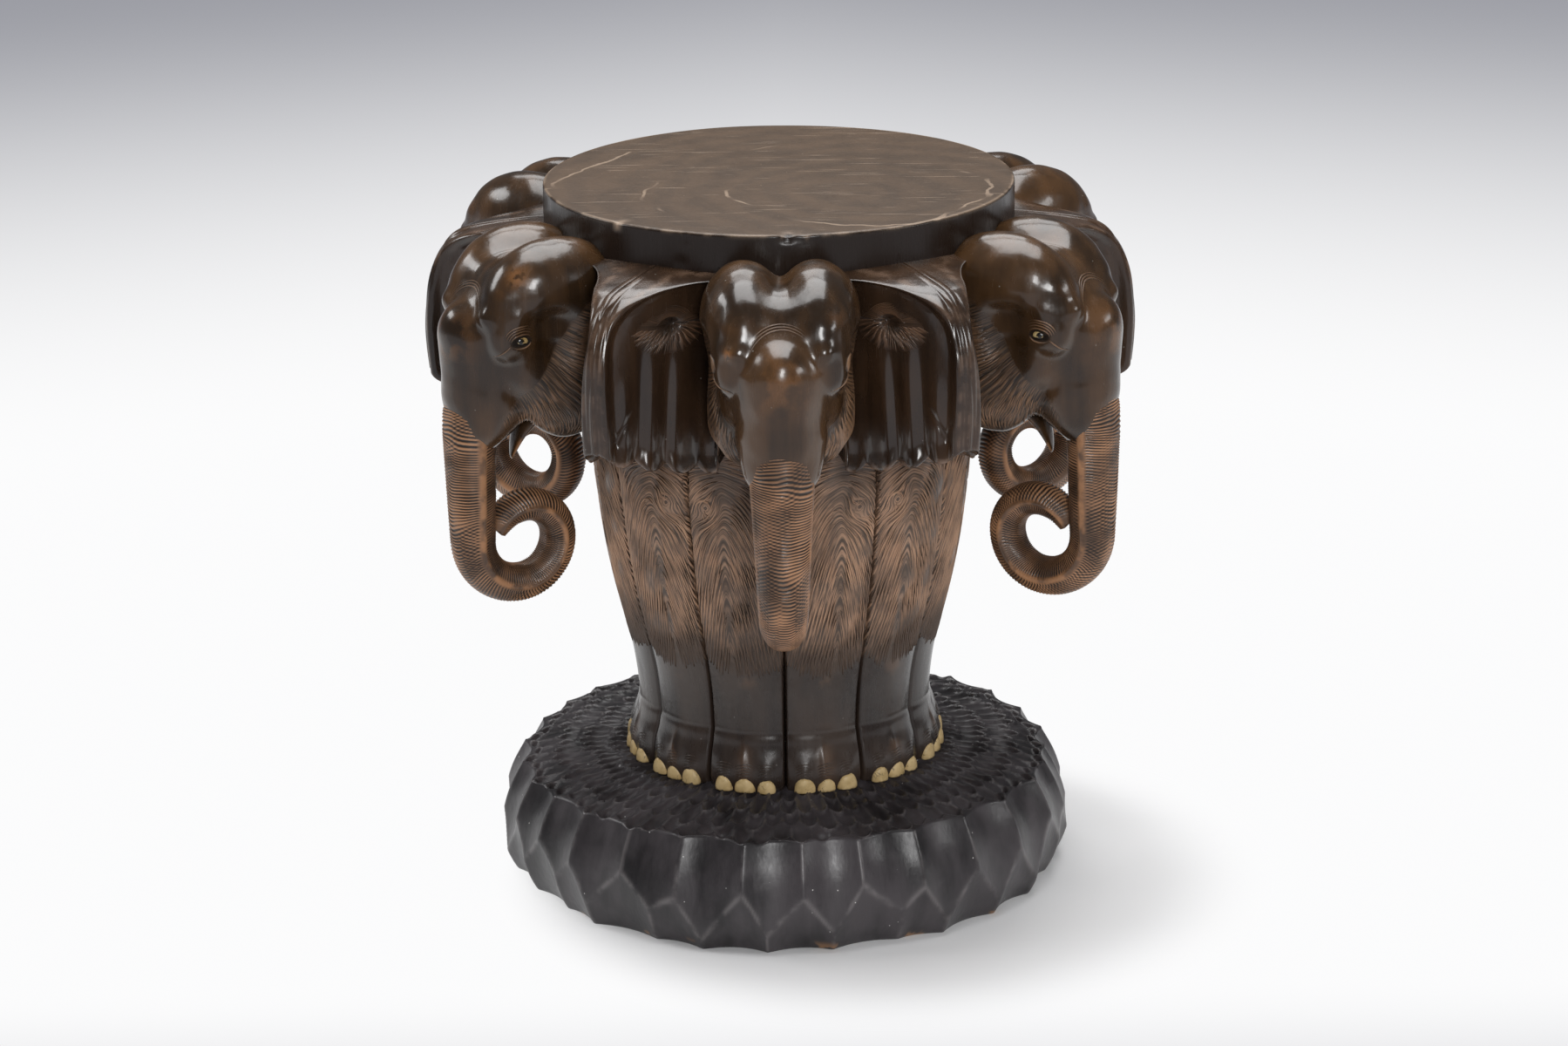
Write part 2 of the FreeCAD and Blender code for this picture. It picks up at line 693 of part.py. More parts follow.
def trunk_section(name, half_width, half_depth, **place):
    """Slice of a trunk: two arcs that meet in a ridge on each side."""
    return free_sketch(name, [
        ("0", f"-{half_width}", half_depth, "0"),
        ("0", half_width, f"-{half_depth}", "0"),
    ], **place)


def trunk():
    """One trunk, swept along its curl from a wide root to a slim tip, with a hole for its dowel."""
    sweep = doc.addObject("Part::Sweep", "trunk_sweep")
    sweep.Sections = [
        trunk_section("trunk_root", "trunk_half_width", "trunk_half_depth", x="trunk_line", z="trunk_top"),
        trunk_section("trunk_tip", "tip_half_width", "tip_half_depth", x="tip_end", z="tip_height",
                      axis=(0, 1, 0), turn="180 deg - acos(tip_cosine)"),
    ]
    path = trunk_path()
    doc.recompute()
    sweep.Spine = (path, [f"Edge{n}" for n in range(1, len(path.Shape.Edges) + 1)])
    sweep.Solid = True
    return cut("trunk_shape", sweep, trunk_dowel("trunk_dowel_hole", "glue_fit"))


def build():
    """Make every piece of the table and return them by name, with the solids that each should have."""
    pieces = {"base_plinth": (plinth(), 1), "column_core": (core(), 1), "top_disc": (top(), 1),
              "base_screws": (screws(), SCREWS)}
    one_head, one_trunk, one_leg, right_ear = head(), trunk(), leg(), ear()
    ears = {"right": right_ear, "left": mirrored("ear_shape_left", right_ear)}
    foot_nails = group("foot_nails", *nails("nail"))
    eye_pair = group("eye_pair", *[eye("eye", side) for side in SIDES])
    dowels = {"head_dowels": head_dowel("head_dowel"), "trunk_dowels": trunk_dowel("trunk_dowel")}
    for n in range(ELEPHANTS):
        angle, number = elephant_angle(n), n + 1
        feet = []
        for side, sign in SIDES.items():
            leg_angle = angle + sign * HALF_LEG
            pieces[f"leg_{side}_{number}"] = (placed(f"leg_{side}_{number}", one_leg, leg_angle), 1)
            pieces[f"ear_{side}_{number}"] = (placed(f"ear_{side}_{number}", ears[side], angle), 1)
            feet.append(placed(f"foot_nails_{side}_{number}", foot_nails, leg_angle))
        pieces[f"head_{number}"] = (placed(f"head_{number}", one_head, angle), 1)
        pieces[f"trunk_{number}"] = (placed(f"trunk_{number}", one_trunk, angle), 1)
        pieces[f"eyes_{number}"] = (placed(f"eyes_{number}", eye_pair, angle), 2)
        pieces[f"toenails_{number}"] = (group(f"toenails_{number}", *feet), 6)
    for name, dowel in dowels.items():
        copies = [placed(f"{name}_{n + 1}", dowel, elephant_angle(n)) for n in range(ELEPHANTS)]
        pieces[name] = (group(name, *copies), ELEPHANTS)
    return pieces


def write(pieces):
    """Check every object and piece, then write each piece to its own file."""
    doc.recompute()
    failed = [item.Name for item in doc.Objects if {"Invalid", "Error"} & set(item.State)]
    if failed:
        raise RuntimeError(f"failed objects: {failed}")
    for name, (item, solids) in pieces.items():
        shape = item.Shape
        if shape.isNull() or not shape.isValid() or len(shape.Solids) != solids:
            raise RuntimeError(f"{name}: {len(shape.Solids)} solids, valid {shape.isValid()}")
    os.makedirs("parts", exist_ok=True)
    for name, (item, solids) in pieces.items():
        item.Label = name
        item.Shape.exportStep(f"parts/{item.Label}.step")
        print(f"{name}: {solids} solids, {item.Shape.Volume / 1000:.1f} cm3")


write(build())
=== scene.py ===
"""Looks of a round table carried by six carved elephants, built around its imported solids.

Each elephant is drawn once in its own frame, in millimetres: r out of the table, t along the ring and
z up. Its pieces are then turned about the table's axis, and become meshes in metres.
"""

import logging
import math
from dataclasses import dataclass, field
from enum import Enum
from functools import partial
from typing import Callable, Sequence

import bpy
import numpy as np
from mathutils import Matrix


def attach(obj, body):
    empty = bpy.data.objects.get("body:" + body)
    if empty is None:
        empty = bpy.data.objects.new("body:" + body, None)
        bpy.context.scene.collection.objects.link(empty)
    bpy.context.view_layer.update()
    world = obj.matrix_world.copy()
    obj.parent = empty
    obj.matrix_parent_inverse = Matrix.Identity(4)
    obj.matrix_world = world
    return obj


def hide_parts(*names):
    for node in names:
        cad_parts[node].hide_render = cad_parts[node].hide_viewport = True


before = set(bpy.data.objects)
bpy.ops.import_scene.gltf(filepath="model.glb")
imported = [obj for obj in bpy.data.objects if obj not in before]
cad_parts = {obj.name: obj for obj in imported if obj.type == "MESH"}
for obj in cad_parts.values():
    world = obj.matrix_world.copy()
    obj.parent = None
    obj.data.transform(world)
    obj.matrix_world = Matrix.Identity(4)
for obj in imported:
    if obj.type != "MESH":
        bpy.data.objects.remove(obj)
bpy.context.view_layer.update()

Array = np.ndarray
Point = tuple[float, float, float]
Colour = tuple[float, float, float]
Knots = tuple[tuple[float, float], ...]
Field = Callable[[Array], Array]
Surface = Callable[[Array, Array], Array]
Material = bpy.types.Material
Socket = bpy.types.NodeSocket
Tree = bpy.types.NodeTree

MM = 0.001
ELEPHANTS = 6
NUMBERS = range(1, ELEPHANTS + 1)
SECTOR = 2 * math.pi / ELEPHANTS
# Painted stream values start here, so that 0 can mean that no hair runs there.
FLOW_BASE = 1000.0
# Half of the step over which slopes are taken, in millimetres.
HALF_STEP = 0.4
# Depth of the finest relief in a finish, in metres.
FINE_RELIEF = 0.0002
# Keeps the length of a direction from being nothing.
TINY = 1e-9
LOG = logging.getLogger("elephant_table")


class Side(Enum):
    """The two sides of an elephant, as the sign of t."""

    LEFT = -1
    RIGHT = 1


def smooth(low: float, high: float, value: Array) -> Array:
    """Rise from 0 at low to 1 at high, level at both ends: 3x^2 - 2x^3 of the share between them."""
    share = np.clip((value - low) / (high - low), 0, 1)
    return share * share * (3 - 2 * share)


def bell(distance: Array, width: float) -> Array:
    """Gaussian bump that is 1 at no distance and 1/e at one width."""
    return np.exp(-np.square(distance / width))


def through(knots: Sequence[tuple[float, float]], at: Array) -> Array:
    """Follow a smooth curve through knots: cubic pieces with the slopes of the neighbouring chords.

    Args:
        knots: Pairs of place and value, in rising order of place.
        at: Places to read the curve at; outside the knots it keeps its end values.

    Returns:
        The curve's values.
    """
    places, values = np.array(knots, float).T
    slopes = np.gradient(values, places)
    at = np.clip(at, places[0], places[-1])
    left = np.clip(np.searchsorted(places, at, side="right") - 1, 0, len(places) - 2)
    span = places[left + 1] - places[left]
    share = (at - places[left]) / span
    start = (1 + 2 * share) * (1 - share) ** 2 * values[left] + share * (1 - share) ** 2 * span * slopes[left]
    stop = (share ** 2 * (3 - 2 * share) * values[left + 1]
            - share ** 2 * (1 - share) * span * slopes[left + 1])
    return start + stop


def ripple(points: Array, length: float, seed: int) -> Array:
    """Give smooth noise of about -1 to 1: a mean of plane waves in fixed scattered directions.

    Args:
        points: Places, with their coordinates along the last axis.
        length: Typical wavelength.
        seed: Which set of waves to use.

    Returns:
        The noise at each place.
    """
    waves = 9
    source = np.random.default_rng(seed)
    ways = source.normal(size=(waves, points.shape[-1]))
    lengths = length * source.uniform(0.7, 1.6, (waves, 1)) * np.linalg.norm(ways, axis=1, keepdims=True)
    ways *= 2 * math.pi / lengths
    return np.sin(points @ ways.T + source.uniform(0, 2 * math.pi, waves)).mean(-1) * 2


def unit(ways: Array, least: float = 0.0) -> Array:
    """Give directions the length 1; a least length is added where one may be nothing."""
    return ways / (np.linalg.norm(ways, axis=-1, keepdims=True) + least)


def level_way(flow: Field, points: Array) -> Array:
    """Give the unit direction of a stream's level lines: its slope, turned by a right angle.

    Args:
        flow: Gives the stream value at points.
        points: Points in the stream's own two coordinates.

    Returns:
        The directions.
    """
    across, up = (flow(points + way) - flow(points - way) for way in HALF_STEP * np.eye(2))
    return unit(np.stack([up, -across], -1), TINY)


def around(radius: Array, turn: Array, z: Array) -> Array:
    """Give the places at distances from the table's axis, turns about it and heights."""
    return np.stack([radius * np.cos(turn), radius * np.sin(turn), z], -1)


def circle(count: int) -> Array:
    """Give even turns once round."""
    return np.linspace(0, 2 * math.pi, count, endpoint=False)


def scatter(count: int, seed: float = 0.5) -> Array:
    """Spread points evenly over the unit square, by steps of the plastic number's powers."""
    return (seed + np.arange(1, count + 1)[:, None] * np.array([0.7548776662, 0.5698402910])) % 1


@dataclass
class Shell:
    """Closed surface: corners in millimetres, faces, and values painted on the corners."""

    points: Array
    quads: Array
    triangles: Array
    paint: dict[str, Array] = field(default_factory=dict)

    def outward(self) -> "Shell":
        """Turn the faces round where the enclosed volume comes out negative.

        Returns:
            The shell itself.
        """
        all_triangles = np.concatenate([self.quads[:, :3], self.quads[:, [0, 2, 3]], self.triangles])
        a, b, c = (self.points[all_triangles[:, n]] for n in range(3))
        if np.einsum("ij,ij->", a, np.cross(b, c)) < 0:
            self.quads, self.triangles = self.quads[:, ::-1], self.triangles[:, ::-1]
        return self


def tube(points: Array, **paint: Array) -> Shell:
    """Close a grid into a shell: its columns meet round the back, and a fan closes each end row.

    Args:
        points: Grid of rows by columns of places.
        paint: Values on the same grid.

    Returns:
        The closed shell.
    """
    rows, columns = points.shape[:2]
    index = np.arange(rows * columns).reshape(rows, columns)
    after = np.roll(index, -1, axis=1)
    quads = np.stack([index[:-1], after[:-1], after[1:], index[1:]], -1).reshape(-1, 4)
    ends = np.full(columns, rows * columns)
    fans = np.concatenate([np.stack([ends, after[0], index[0]], -1),
                           np.stack([ends + 1, index[-1], after[-1]], -1)])
    corners = np.concatenate([points.reshape(-1, 3), points[:1].mean(1), points[-1:].mean(1)])
    painted = {name: np.concatenate([value.ravel(), [value[0].mean(), value[-1].mean()]])
               for name, value in paint.items()}
    return Shell(corners, quads, fans, painted).outward()


def join(*shells: Shell) -> Shell:
    """Put shells together as the separate closed parts of one piece.

    Args:
        shells: The parts.

    Returns:
        One shell; a part has 0 for what is painted only on others.
    """
    starts = np.cumsum([0] + [len(shell.points) for shell in shells])
    names = {name for shell in shells for name in shell.paint}
    return Shell(
        np.concatenate([shell.points for shell in shells]),
        np.concatenate([shell.quads + start for shell, start in zip(shells, starts)]),
        np.concatenate([shell.triangles + start for shell, start in zip(shells, starts)]),
        {name: np.concatenate([shell.paint.get(name, np.zeros(len(shell.points))) for shell in shells])
         for name in names})


@dataclass(frozen=True)
class Stroke:
    """One kind of carved stroke: a three-sided blade that lies on a surface and tapers to its ends."""

    length: float
    width: float
    height: float
    steps: int = 9
    sink: float = 0.35

    def lay(self, seeds: Array, heading: Field, surface: Surface,
            lengths: Array | None = None, seed: int = 1) -> Shell:
        """Carry the blade's profile along paths that follow a field of directions over a surface.

        Each path starts at a seed and takes equal steps along the heading there. At each step the two
        low edges lie a half width to either side, a little under the surface, and the crest stands above.
        The width and the crest grow and fade as a power of sin(pi x^0.75), so that the tail is the longer.

        Args:
            seeds: Starting points in the surface's own two coordinates.
            heading: Gives the unit direction at each point.
            surface: Gives the places for points and for heights above the surface.
            lengths: Length of each stroke as a share of the kind's own length.
            seed: Which set of tones to use.

        Returns:
            The shell of all strokes, painted with their crests and tones.
        """
        count = len(seeds)
        lengths = np.ones(count) if lengths is None else lengths
        paths = [seeds]
        for _ in range(self.steps):
            paths.append(paths[-1] + heading(paths[-1]) * (lengths * self.length / self.steps)[:, None])
        path = np.stack(paths, 1)
        along = np.gradient(path, axis=1)
        along = unit(along, TINY)
        across = np.stack([-along[..., 1], along[..., 0]], -1)
        share = np.linspace(0, 1, self.steps + 1)
        full = (np.sin(math.pi * share ** 0.75) ** 0.6)[None, :, None]
        half = across * full * self.width / 2
        lift = np.broadcast_to(full[..., 0], path.shape[:2])
        corners = np.stack([surface(path - half, np.full(lift.shape, -self.sink)),
                            surface(path, lift * self.height - self.sink * (1 - lift)),
                            surface(path + half, np.full(lift.shape, -self.sink))], 2)
        tones = np.random.default_rng(seed).uniform(0, 1, count)
        grid = np.ones(corners.shape[:3])
        index = np.arange(grid.size).reshape(grid.shape)
        after = np.roll(index, -1, axis=2)
        quads = np.stack([index[:, :-1], after[:, :-1], after[:, 1:], index[:, 1:]], -1).reshape(-1, 4)
        caps = np.concatenate([index[:, 0, ::-1], index[:, -1]])
        paint = {"ridge": grid * np.array([0.0, 1.0, 0.0]) * lift[..., None], "fur": grid,
                 "tone": grid * tones[:, None, None]}
        return Shell(corners.reshape(-1, 3), quads, caps,
                     {name: value.ravel() for name, value in paint.items()}).outward()


def spun(shell: Shell, angle: float) -> Shell:
    """Turn a shell about the table's axis.

    Args:
        shell: The shell.
        angle: The turn.

    Returns:
        A new shell with the same faces and paint.
    """
    cosine, sine = math.cos(angle), math.sin(angle)
    x, y, z = shell.points.T
    return Shell(np.stack([x * cosine - y * sine, x * sine + y * cosine, z], -1),
                 shell.quads, shell.triangles, shell.paint)


def turned(shell: Shell, number: int) -> Shell:
    """Turn a shell from an elephant's own frame to its place in the ring; the first faces the camera."""
    return spun(shell, -math.pi / 2 + SECTOR * (number - 1))


def mirrored(shell: Shell) -> Shell:
    """Mirror a shell to the elephant's other side, with its faces still outwards."""
    return Shell(shell.points * np.array([1, -1, 1]), shell.quads[:, ::-1], shell.triangles[:, ::-1],
                 shell.paint)


def install(name: str, shell: Shell, material: Material, slot: str, *nodes: str) -> None:
    """Make a piece of a shell, and let it stand for solids of the frame.

    Args:
        name: Name of the piece.
        shell: Its surface in the table's frame, in millimetres.
        material: Its finish.
        slot: Material slot of the record; not used.
        nodes: Solids that the piece replaces.
    """
    mesh = bpy.data.meshes.new(name)
    loops = np.concatenate([shell.quads.ravel(), shell.triangles.ravel()])
    starts = np.concatenate([4 * np.arange(len(shell.quads)),
                             4 * len(shell.quads) + 3 * np.arange(len(shell.triangles))])
    mesh.vertices.add(len(shell.points))
    mesh.vertices.foreach_set("co", (shell.points * MM).astype(np.float32).ravel())
    mesh.loops.add(len(loops))
    mesh.loops.foreach_set("vertex_index", loops.astype(np.int32))
    mesh.polygons.add(len(starts))
    mesh.polygons.foreach_set("loop_start", starts.astype(np.int32))
    for key, values in shell.paint.items():
        mesh.attributes.new(key, "FLOAT", "POINT").data.foreach_set("value", values.astype(np.float32))
    mesh.update(calc_edges=True)
    mesh.validate()
    mesh.shade_smooth()
    mesh.materials.append(material)
    piece = bpy.data.objects.new(name, mesh)
    bpy.context.scene.collection.objects.link(piece)
    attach(piece, "root")
    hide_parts(*nodes)
    LOG.info("%s: %d corners, %d faces", name, len(shell.points), len(starts))


def install_ring(name: str, shell: Shell, material: Material, slot: str, node: str) -> None:
    """Install the same piece for every elephant, with its number after the names of piece and solid."""
    for number in NUMBERS:
        install(f"{name}_{number}", turned(shell, number), material, slot, f"{node}_{number}")


@dataclass
class Nodes:
    """Short way to lay out the nodes of a material or a node group, whose noise is read at a place."""

    tree: Tree
    place: Socket | None = None

    def add(self, kind: str, inputs: dict | None = None, **settings: object) -> bpy.types.Node:
        """Add a node.

        Args:
            kind: Node type, without its common prefix.
            inputs: Values or sockets for its inputs, by name or number.
            settings: Properties of the node.

        Returns:
            The node.
        """
        node = self.tree.nodes.new(kind if kind.startswith("NodeGroup") else f"ShaderNode{kind}")
        for name, value in settings.items():
            setattr(node, name, value)
        for key, value in (inputs or {}).items():
            if isinstance(value, Socket):
                self.tree.links.new(value, node.inputs[key])
            else:
                node.inputs[key].default_value = value
        return node

    def math(self, operation: str, *values: object) -> Socket:
        """Work out one number from others, kept within 0 and 1 by CLAMPED_ in front of the operation."""
        kind, clamped = operation.removeprefix("CLAMPED_"), operation.startswith("CLAMPED_")
        return self.add("Math", dict(enumerate(values)), operation=kind, use_clamp=clamped).outputs[0]

    def mix(self, share: object, first: object, second: object) -> Socket:
        """Mix two colours, or sockets of colours, by a share."""
        first, second = (item if isinstance(item, Socket) else (*item, 1.0) for item in (first, second))
        return self.add("Mix", {0: share, 6: first, 7: second}, data_type="RGBA").outputs[2]

    def span(self, value: object, low: float, high: float, to_low: float = 0.0,
             to_high: float = 1.0) -> Socket:
        """Map a range of a value smoothly onto another range."""
        return self.add("MapRange", {0: value, 1: low, 2: high, 3: to_low, 4: to_high},
                        interpolation_type="SMOOTHSTEP").outputs[0]

    def noise(self, scale: float, detail: float = 3.0, stretch: Point = (1, 1, 1)) -> Socket:
        """Read noise, mostly of 0.3 to 0.7, at the place stretched along the axes."""
        moved = self.add("Mapping", {"Vector": self.place, "Scale": stretch}).outputs[0]
        return self.add("TexNoise", {"Vector": moved, "Scale": scale, "Detail": detail}).outputs["Fac"]

    def painted(self, name: str) -> Socket:
        """Read a value painted on the corners."""
        return self.add("Attribute", attribute_name=name).outputs["Fac"]

    def group(self, tree: Tree, **inputs: object) -> bpy.types.Node:
        """Add a node group at the place, with its other values by their names in small letters."""
        values = {"Place": self.place} | {name.title(): value for name, value in inputs.items()}
        return self.add("Group", values, node_tree=tree)


def new_group(name: str, inputs: dict[str, tuple[str, object]], outputs: dict[str, str]
              ) -> tuple[Tree, Nodes, bpy.types.Node, bpy.types.Node]:
    """Start a shader node group.

    Args:
        name: Name of the group.
        inputs: Kind and value of each input socket.
        outputs: Kind of each output socket.

    Returns:
        The tree, its layout helper, and its input and output nodes.
    """
    tree = bpy.data.node_groups.new(name, "ShaderNodeTree")
    for socket, (kind, value) in inputs.items():
        item = tree.interface.new_socket(socket, in_out="INPUT", socket_type=f"NodeSocket{kind}")
        if value is not None:
            item.default_value = value
    for socket, kind in outputs.items():
        tree.interface.new_socket(socket, in_out="OUTPUT", socket_type=f"NodeSocket{kind}")
    nodes = Nodes(tree)
    return tree, nodes, nodes.add("NodeGroupInput"), nodes.add("NodeGroupOutput")


def speck_group() -> Tree:
    """Build the group of dust specks and scratches: far cells of a Voronoi pattern, thinned by noise.

    Returns:
        A group with the inputs Place and Amount and the outputs Specks and Scratches.
    """
    tree, nodes, start, stop = new_group(
        "Specks", {"Place": ("Vector", None), "Amount": ("Float", 0.5)},
        {"Specks": "Float", "Scratches": "Float"})
    place, amount = start.outputs["Place"], start.outputs["Amount"]
    cells = nodes.add("TexVoronoi", {"Vector": place, "Scale": 170.0})
    near = nodes.span(cells.outputs["Distance"], 0.10, 0.05)
    rare = nodes.span(nodes.add("SeparateColor", {0: cells.outputs["Color"]}).outputs[0], 0.90, 0.93)
    specks = nodes.math("MULTIPLY", nodes.math("MULTIPLY", near, rare), amount)
    total = None
    for turn, scale in ((0.4, 9.0), (1.9, 13.0), (2.7, 7.0)):
        drawn = nodes.add("Mapping", {"Vector": place, "Rotation": (0.2, 0.1, turn),
                                      "Scale": (1.6, 46.0, 3.0)})
        streaks = nodes.add("TexNoise", {"Vector": drawn.outputs[0], "Scale": scale, "Detail": 2.0})
        line = nodes.span(streaks.outputs["Fac"], 0.70, 0.73)
        total = line if total is None else nodes.math("MAXIMUM", total, line)
    nodes.tree.links.new(specks, stop.inputs["Specks"])
    nodes.tree.links.new(nodes.math("MULTIPLY", total, amount), stop.inputs["Scratches"])
    return tree


def grain_group() -> Tree:
    """Build the group of wood grain: noise drawn out along the log, with finer pores within it.

    Returns:
        A group with the inputs Place and Blotch and the outputs Tone and Height.
    """
    tree, nodes, start, stop = new_group(
        "Grain", {"Place": ("Vector", None), "Blotch": ("Float", 11.0)}, {"Tone": "Float", "Height": "Float"})
    nodes.place = start.outputs["Place"]
    streaks = nodes.noise(55.0, 4.0, (1, 1, 0.12))
    pores = nodes.noise(420.0, 2.0, (1, 1, 0.07))
    clouds = nodes.add("TexNoise", {"Vector": nodes.place, "Scale": start.outputs["Blotch"],
                                    "Detail": 4.0})
    tone = nodes.math("ADD", nodes.math("MULTIPLY", streaks, 0.45),
                      nodes.math("MULTIPLY", clouds.outputs["Fac"], 0.55))
    nodes.tree.links.new(nodes.span(tone, 0.36, 0.64), stop.inputs["Tone"])
    nodes.tree.links.new(nodes.math("ADD", nodes.math("MULTIPLY", streaks, 0.5),
                                    nodes.math("MULTIPLY", pores, 0.5)), stop.inputs["Height"])
    return tree


@dataclass(frozen=True)
class Finish:
    """Ground of every finish: a name and a way to make its material."""

    name: str

    def start(self) -> tuple[Material, Nodes]:
        """Make an empty node material.

        Returns:
            The material, and its layout helper with Object coordinates as the place.
        """
        material = bpy.data.materials.new(self.name)
        material.use_nodes = True
        material.node_tree.nodes.clear()
        nodes = Nodes(material.node_tree)
        nodes.place = nodes.add("TexCoord").outputs["Object"]
        return material, nodes

    def finish(self, nodes: Nodes, colour: object, roughness: object, height: object, depth: float,
               **constants: float) -> None:
        """Close a material with its Principled shader.

        Args:
            nodes: The material's layout helper.
            colour: Base colour or its socket.
            roughness: Roughness or its socket.
            height: Socket of the relief for the Bump node.
            depth: Depth of that relief in metres.
            constants: Values for other sockets, with their names in small letters.
        """
        bump = nodes.add("Bump", {"Height": height, "Strength": 1.0, "Distance": depth})
        shader = nodes.add("BsdfPrincipled", {"Base Color": colour, "Roughness": roughness,
                                              "Normal": bump.outputs[0]})
        for name, value in constants.items():
            shader.inputs[name.replace("_", " ").title().replace("Ior", "IOR")].default_value = value
        output = nodes.add("OutputMaterial")
        nodes.tree.links.new(shader.outputs[0], output.inputs[0])


@dataclass(frozen=True)
class CarvedWood(Finish):
    """Stained and polished wood, with cut strokes that are dark below and worn bright on their crests."""

    dark: Colour
    brown: Colour
    worn: Colour
    groove: Colour
    crest: Colour
    polish: float
    coat: float
    strand: float = 0.9
    dust: Colour = (0.60, 0.57, 0.52)

    def hair(self, nodes: Nodes) -> Socket:
        """Draw fine hairs along the painted flow: noise, fast across it and slow up the height.

        Args:
            nodes: The material's layout helper.

        Returns:
            A height of about -0.5 to 0.5, and nothing where no flow or no fur is painted.
        """
        flow, fur = nodes.painted("flow"), nodes.painted("fur")
        across = nodes.math("DIVIDE", flow, self.strand)
        along = nodes.math("MULTIPLY", nodes.add("SeparateXYZ", {0: nodes.place}).outputs["Z"], 60.0)
        spot = nodes.add("CombineXYZ", {0: across, 1: along})
        strands = nodes.add("TexNoise", {"Vector": spot.outputs[0], "Scale": 1.0, "Detail": 2.0})
        height = nodes.span(strands.outputs["Fac"], 0.3, 0.7, -0.5, 0.5)
        return nodes.math("MULTIPLY", height, nodes.math("MULTIPLY", fur, nodes.span(flow, 1.0, 2.0)))

    def make(self, grain: Tree, specks: Tree) -> Material:
        """Build the material.

        Args:
            grain: The group of wood grain.
            specks: The group of dust specks.

        Returns:
            The material.
        """
        material, nodes = self.start()
        figure = nodes.group(grain)
        marks = nodes.group(specks, amount=0.4)
        fur, ridge, tone, wear = (nodes.painted(name) for name in ("fur", "ridge", "tone", "wear"))
        hair = self.hair(nodes)
        stain = nodes.mix(figure.outputs["Tone"], self.dark, self.brown)
        patch = nodes.span(nodes.noise(60.0, 5.0), 0.42, 0.6)
        bare = nodes.math("CLAMPED_MULTIPLY", wear, patch)
        stain = nodes.mix(bare, stain, self.worn)
        cloud = nodes.span(nodes.noise(34.0, 4.0), 0.36, 0.64, 0.2, 0.8)
        bright = nodes.math("MULTIPLY_ADD", tone, 0.5, cloud)
        crests = nodes.span(nodes.math("MULTIPLY_ADD", hair, 0.55, ridge), 0.1, 0.95)
        lit = nodes.math("CLAMPED_MULTIPLY", crests, bright)
        # Fur without crests takes the groove colour; in the eye sockets this is painted shade.
        colour = nodes.mix(fur, stain, nodes.mix(lit, self.groove, self.crest))
        ragged = nodes.span(nodes.noise(150.0, 4.0), 0.36, 0.5)
        chips = nodes.math("CLAMPED_MULTIPLY", nodes.painted("chip"), ragged)
        colour = nodes.mix(chips, colour, self.worn)
        specked = nodes.math("MULTIPLY", marks.outputs["Specks"], 0.7)
        colour = nodes.mix(specked, colour, self.dust)
        sheen = nodes.span(figure.outputs["Height"], 0.3, 0.7, self.polish - 0.04, self.polish + 0.06)
        rough = nodes.math("MULTIPLY_ADD", fur, 0.17, sheen)
        rough = nodes.math("MULTIPLY_ADD", nodes.math("MAXIMUM", bare, chips), 0.16, rough)
        relief = nodes.math("MULTIPLY_ADD", figure.outputs["Height"], 0.3, nodes.noise(120.0, 3.0))
        relief = nodes.math("MULTIPLY_ADD", hair, 1.5, relief)
        self.finish(nodes, colour, rough, relief, FINE_RELIEF, coat_weight=self.coat, coat_roughness=0.07,
                    specular_ior_level=0.5)
        return material


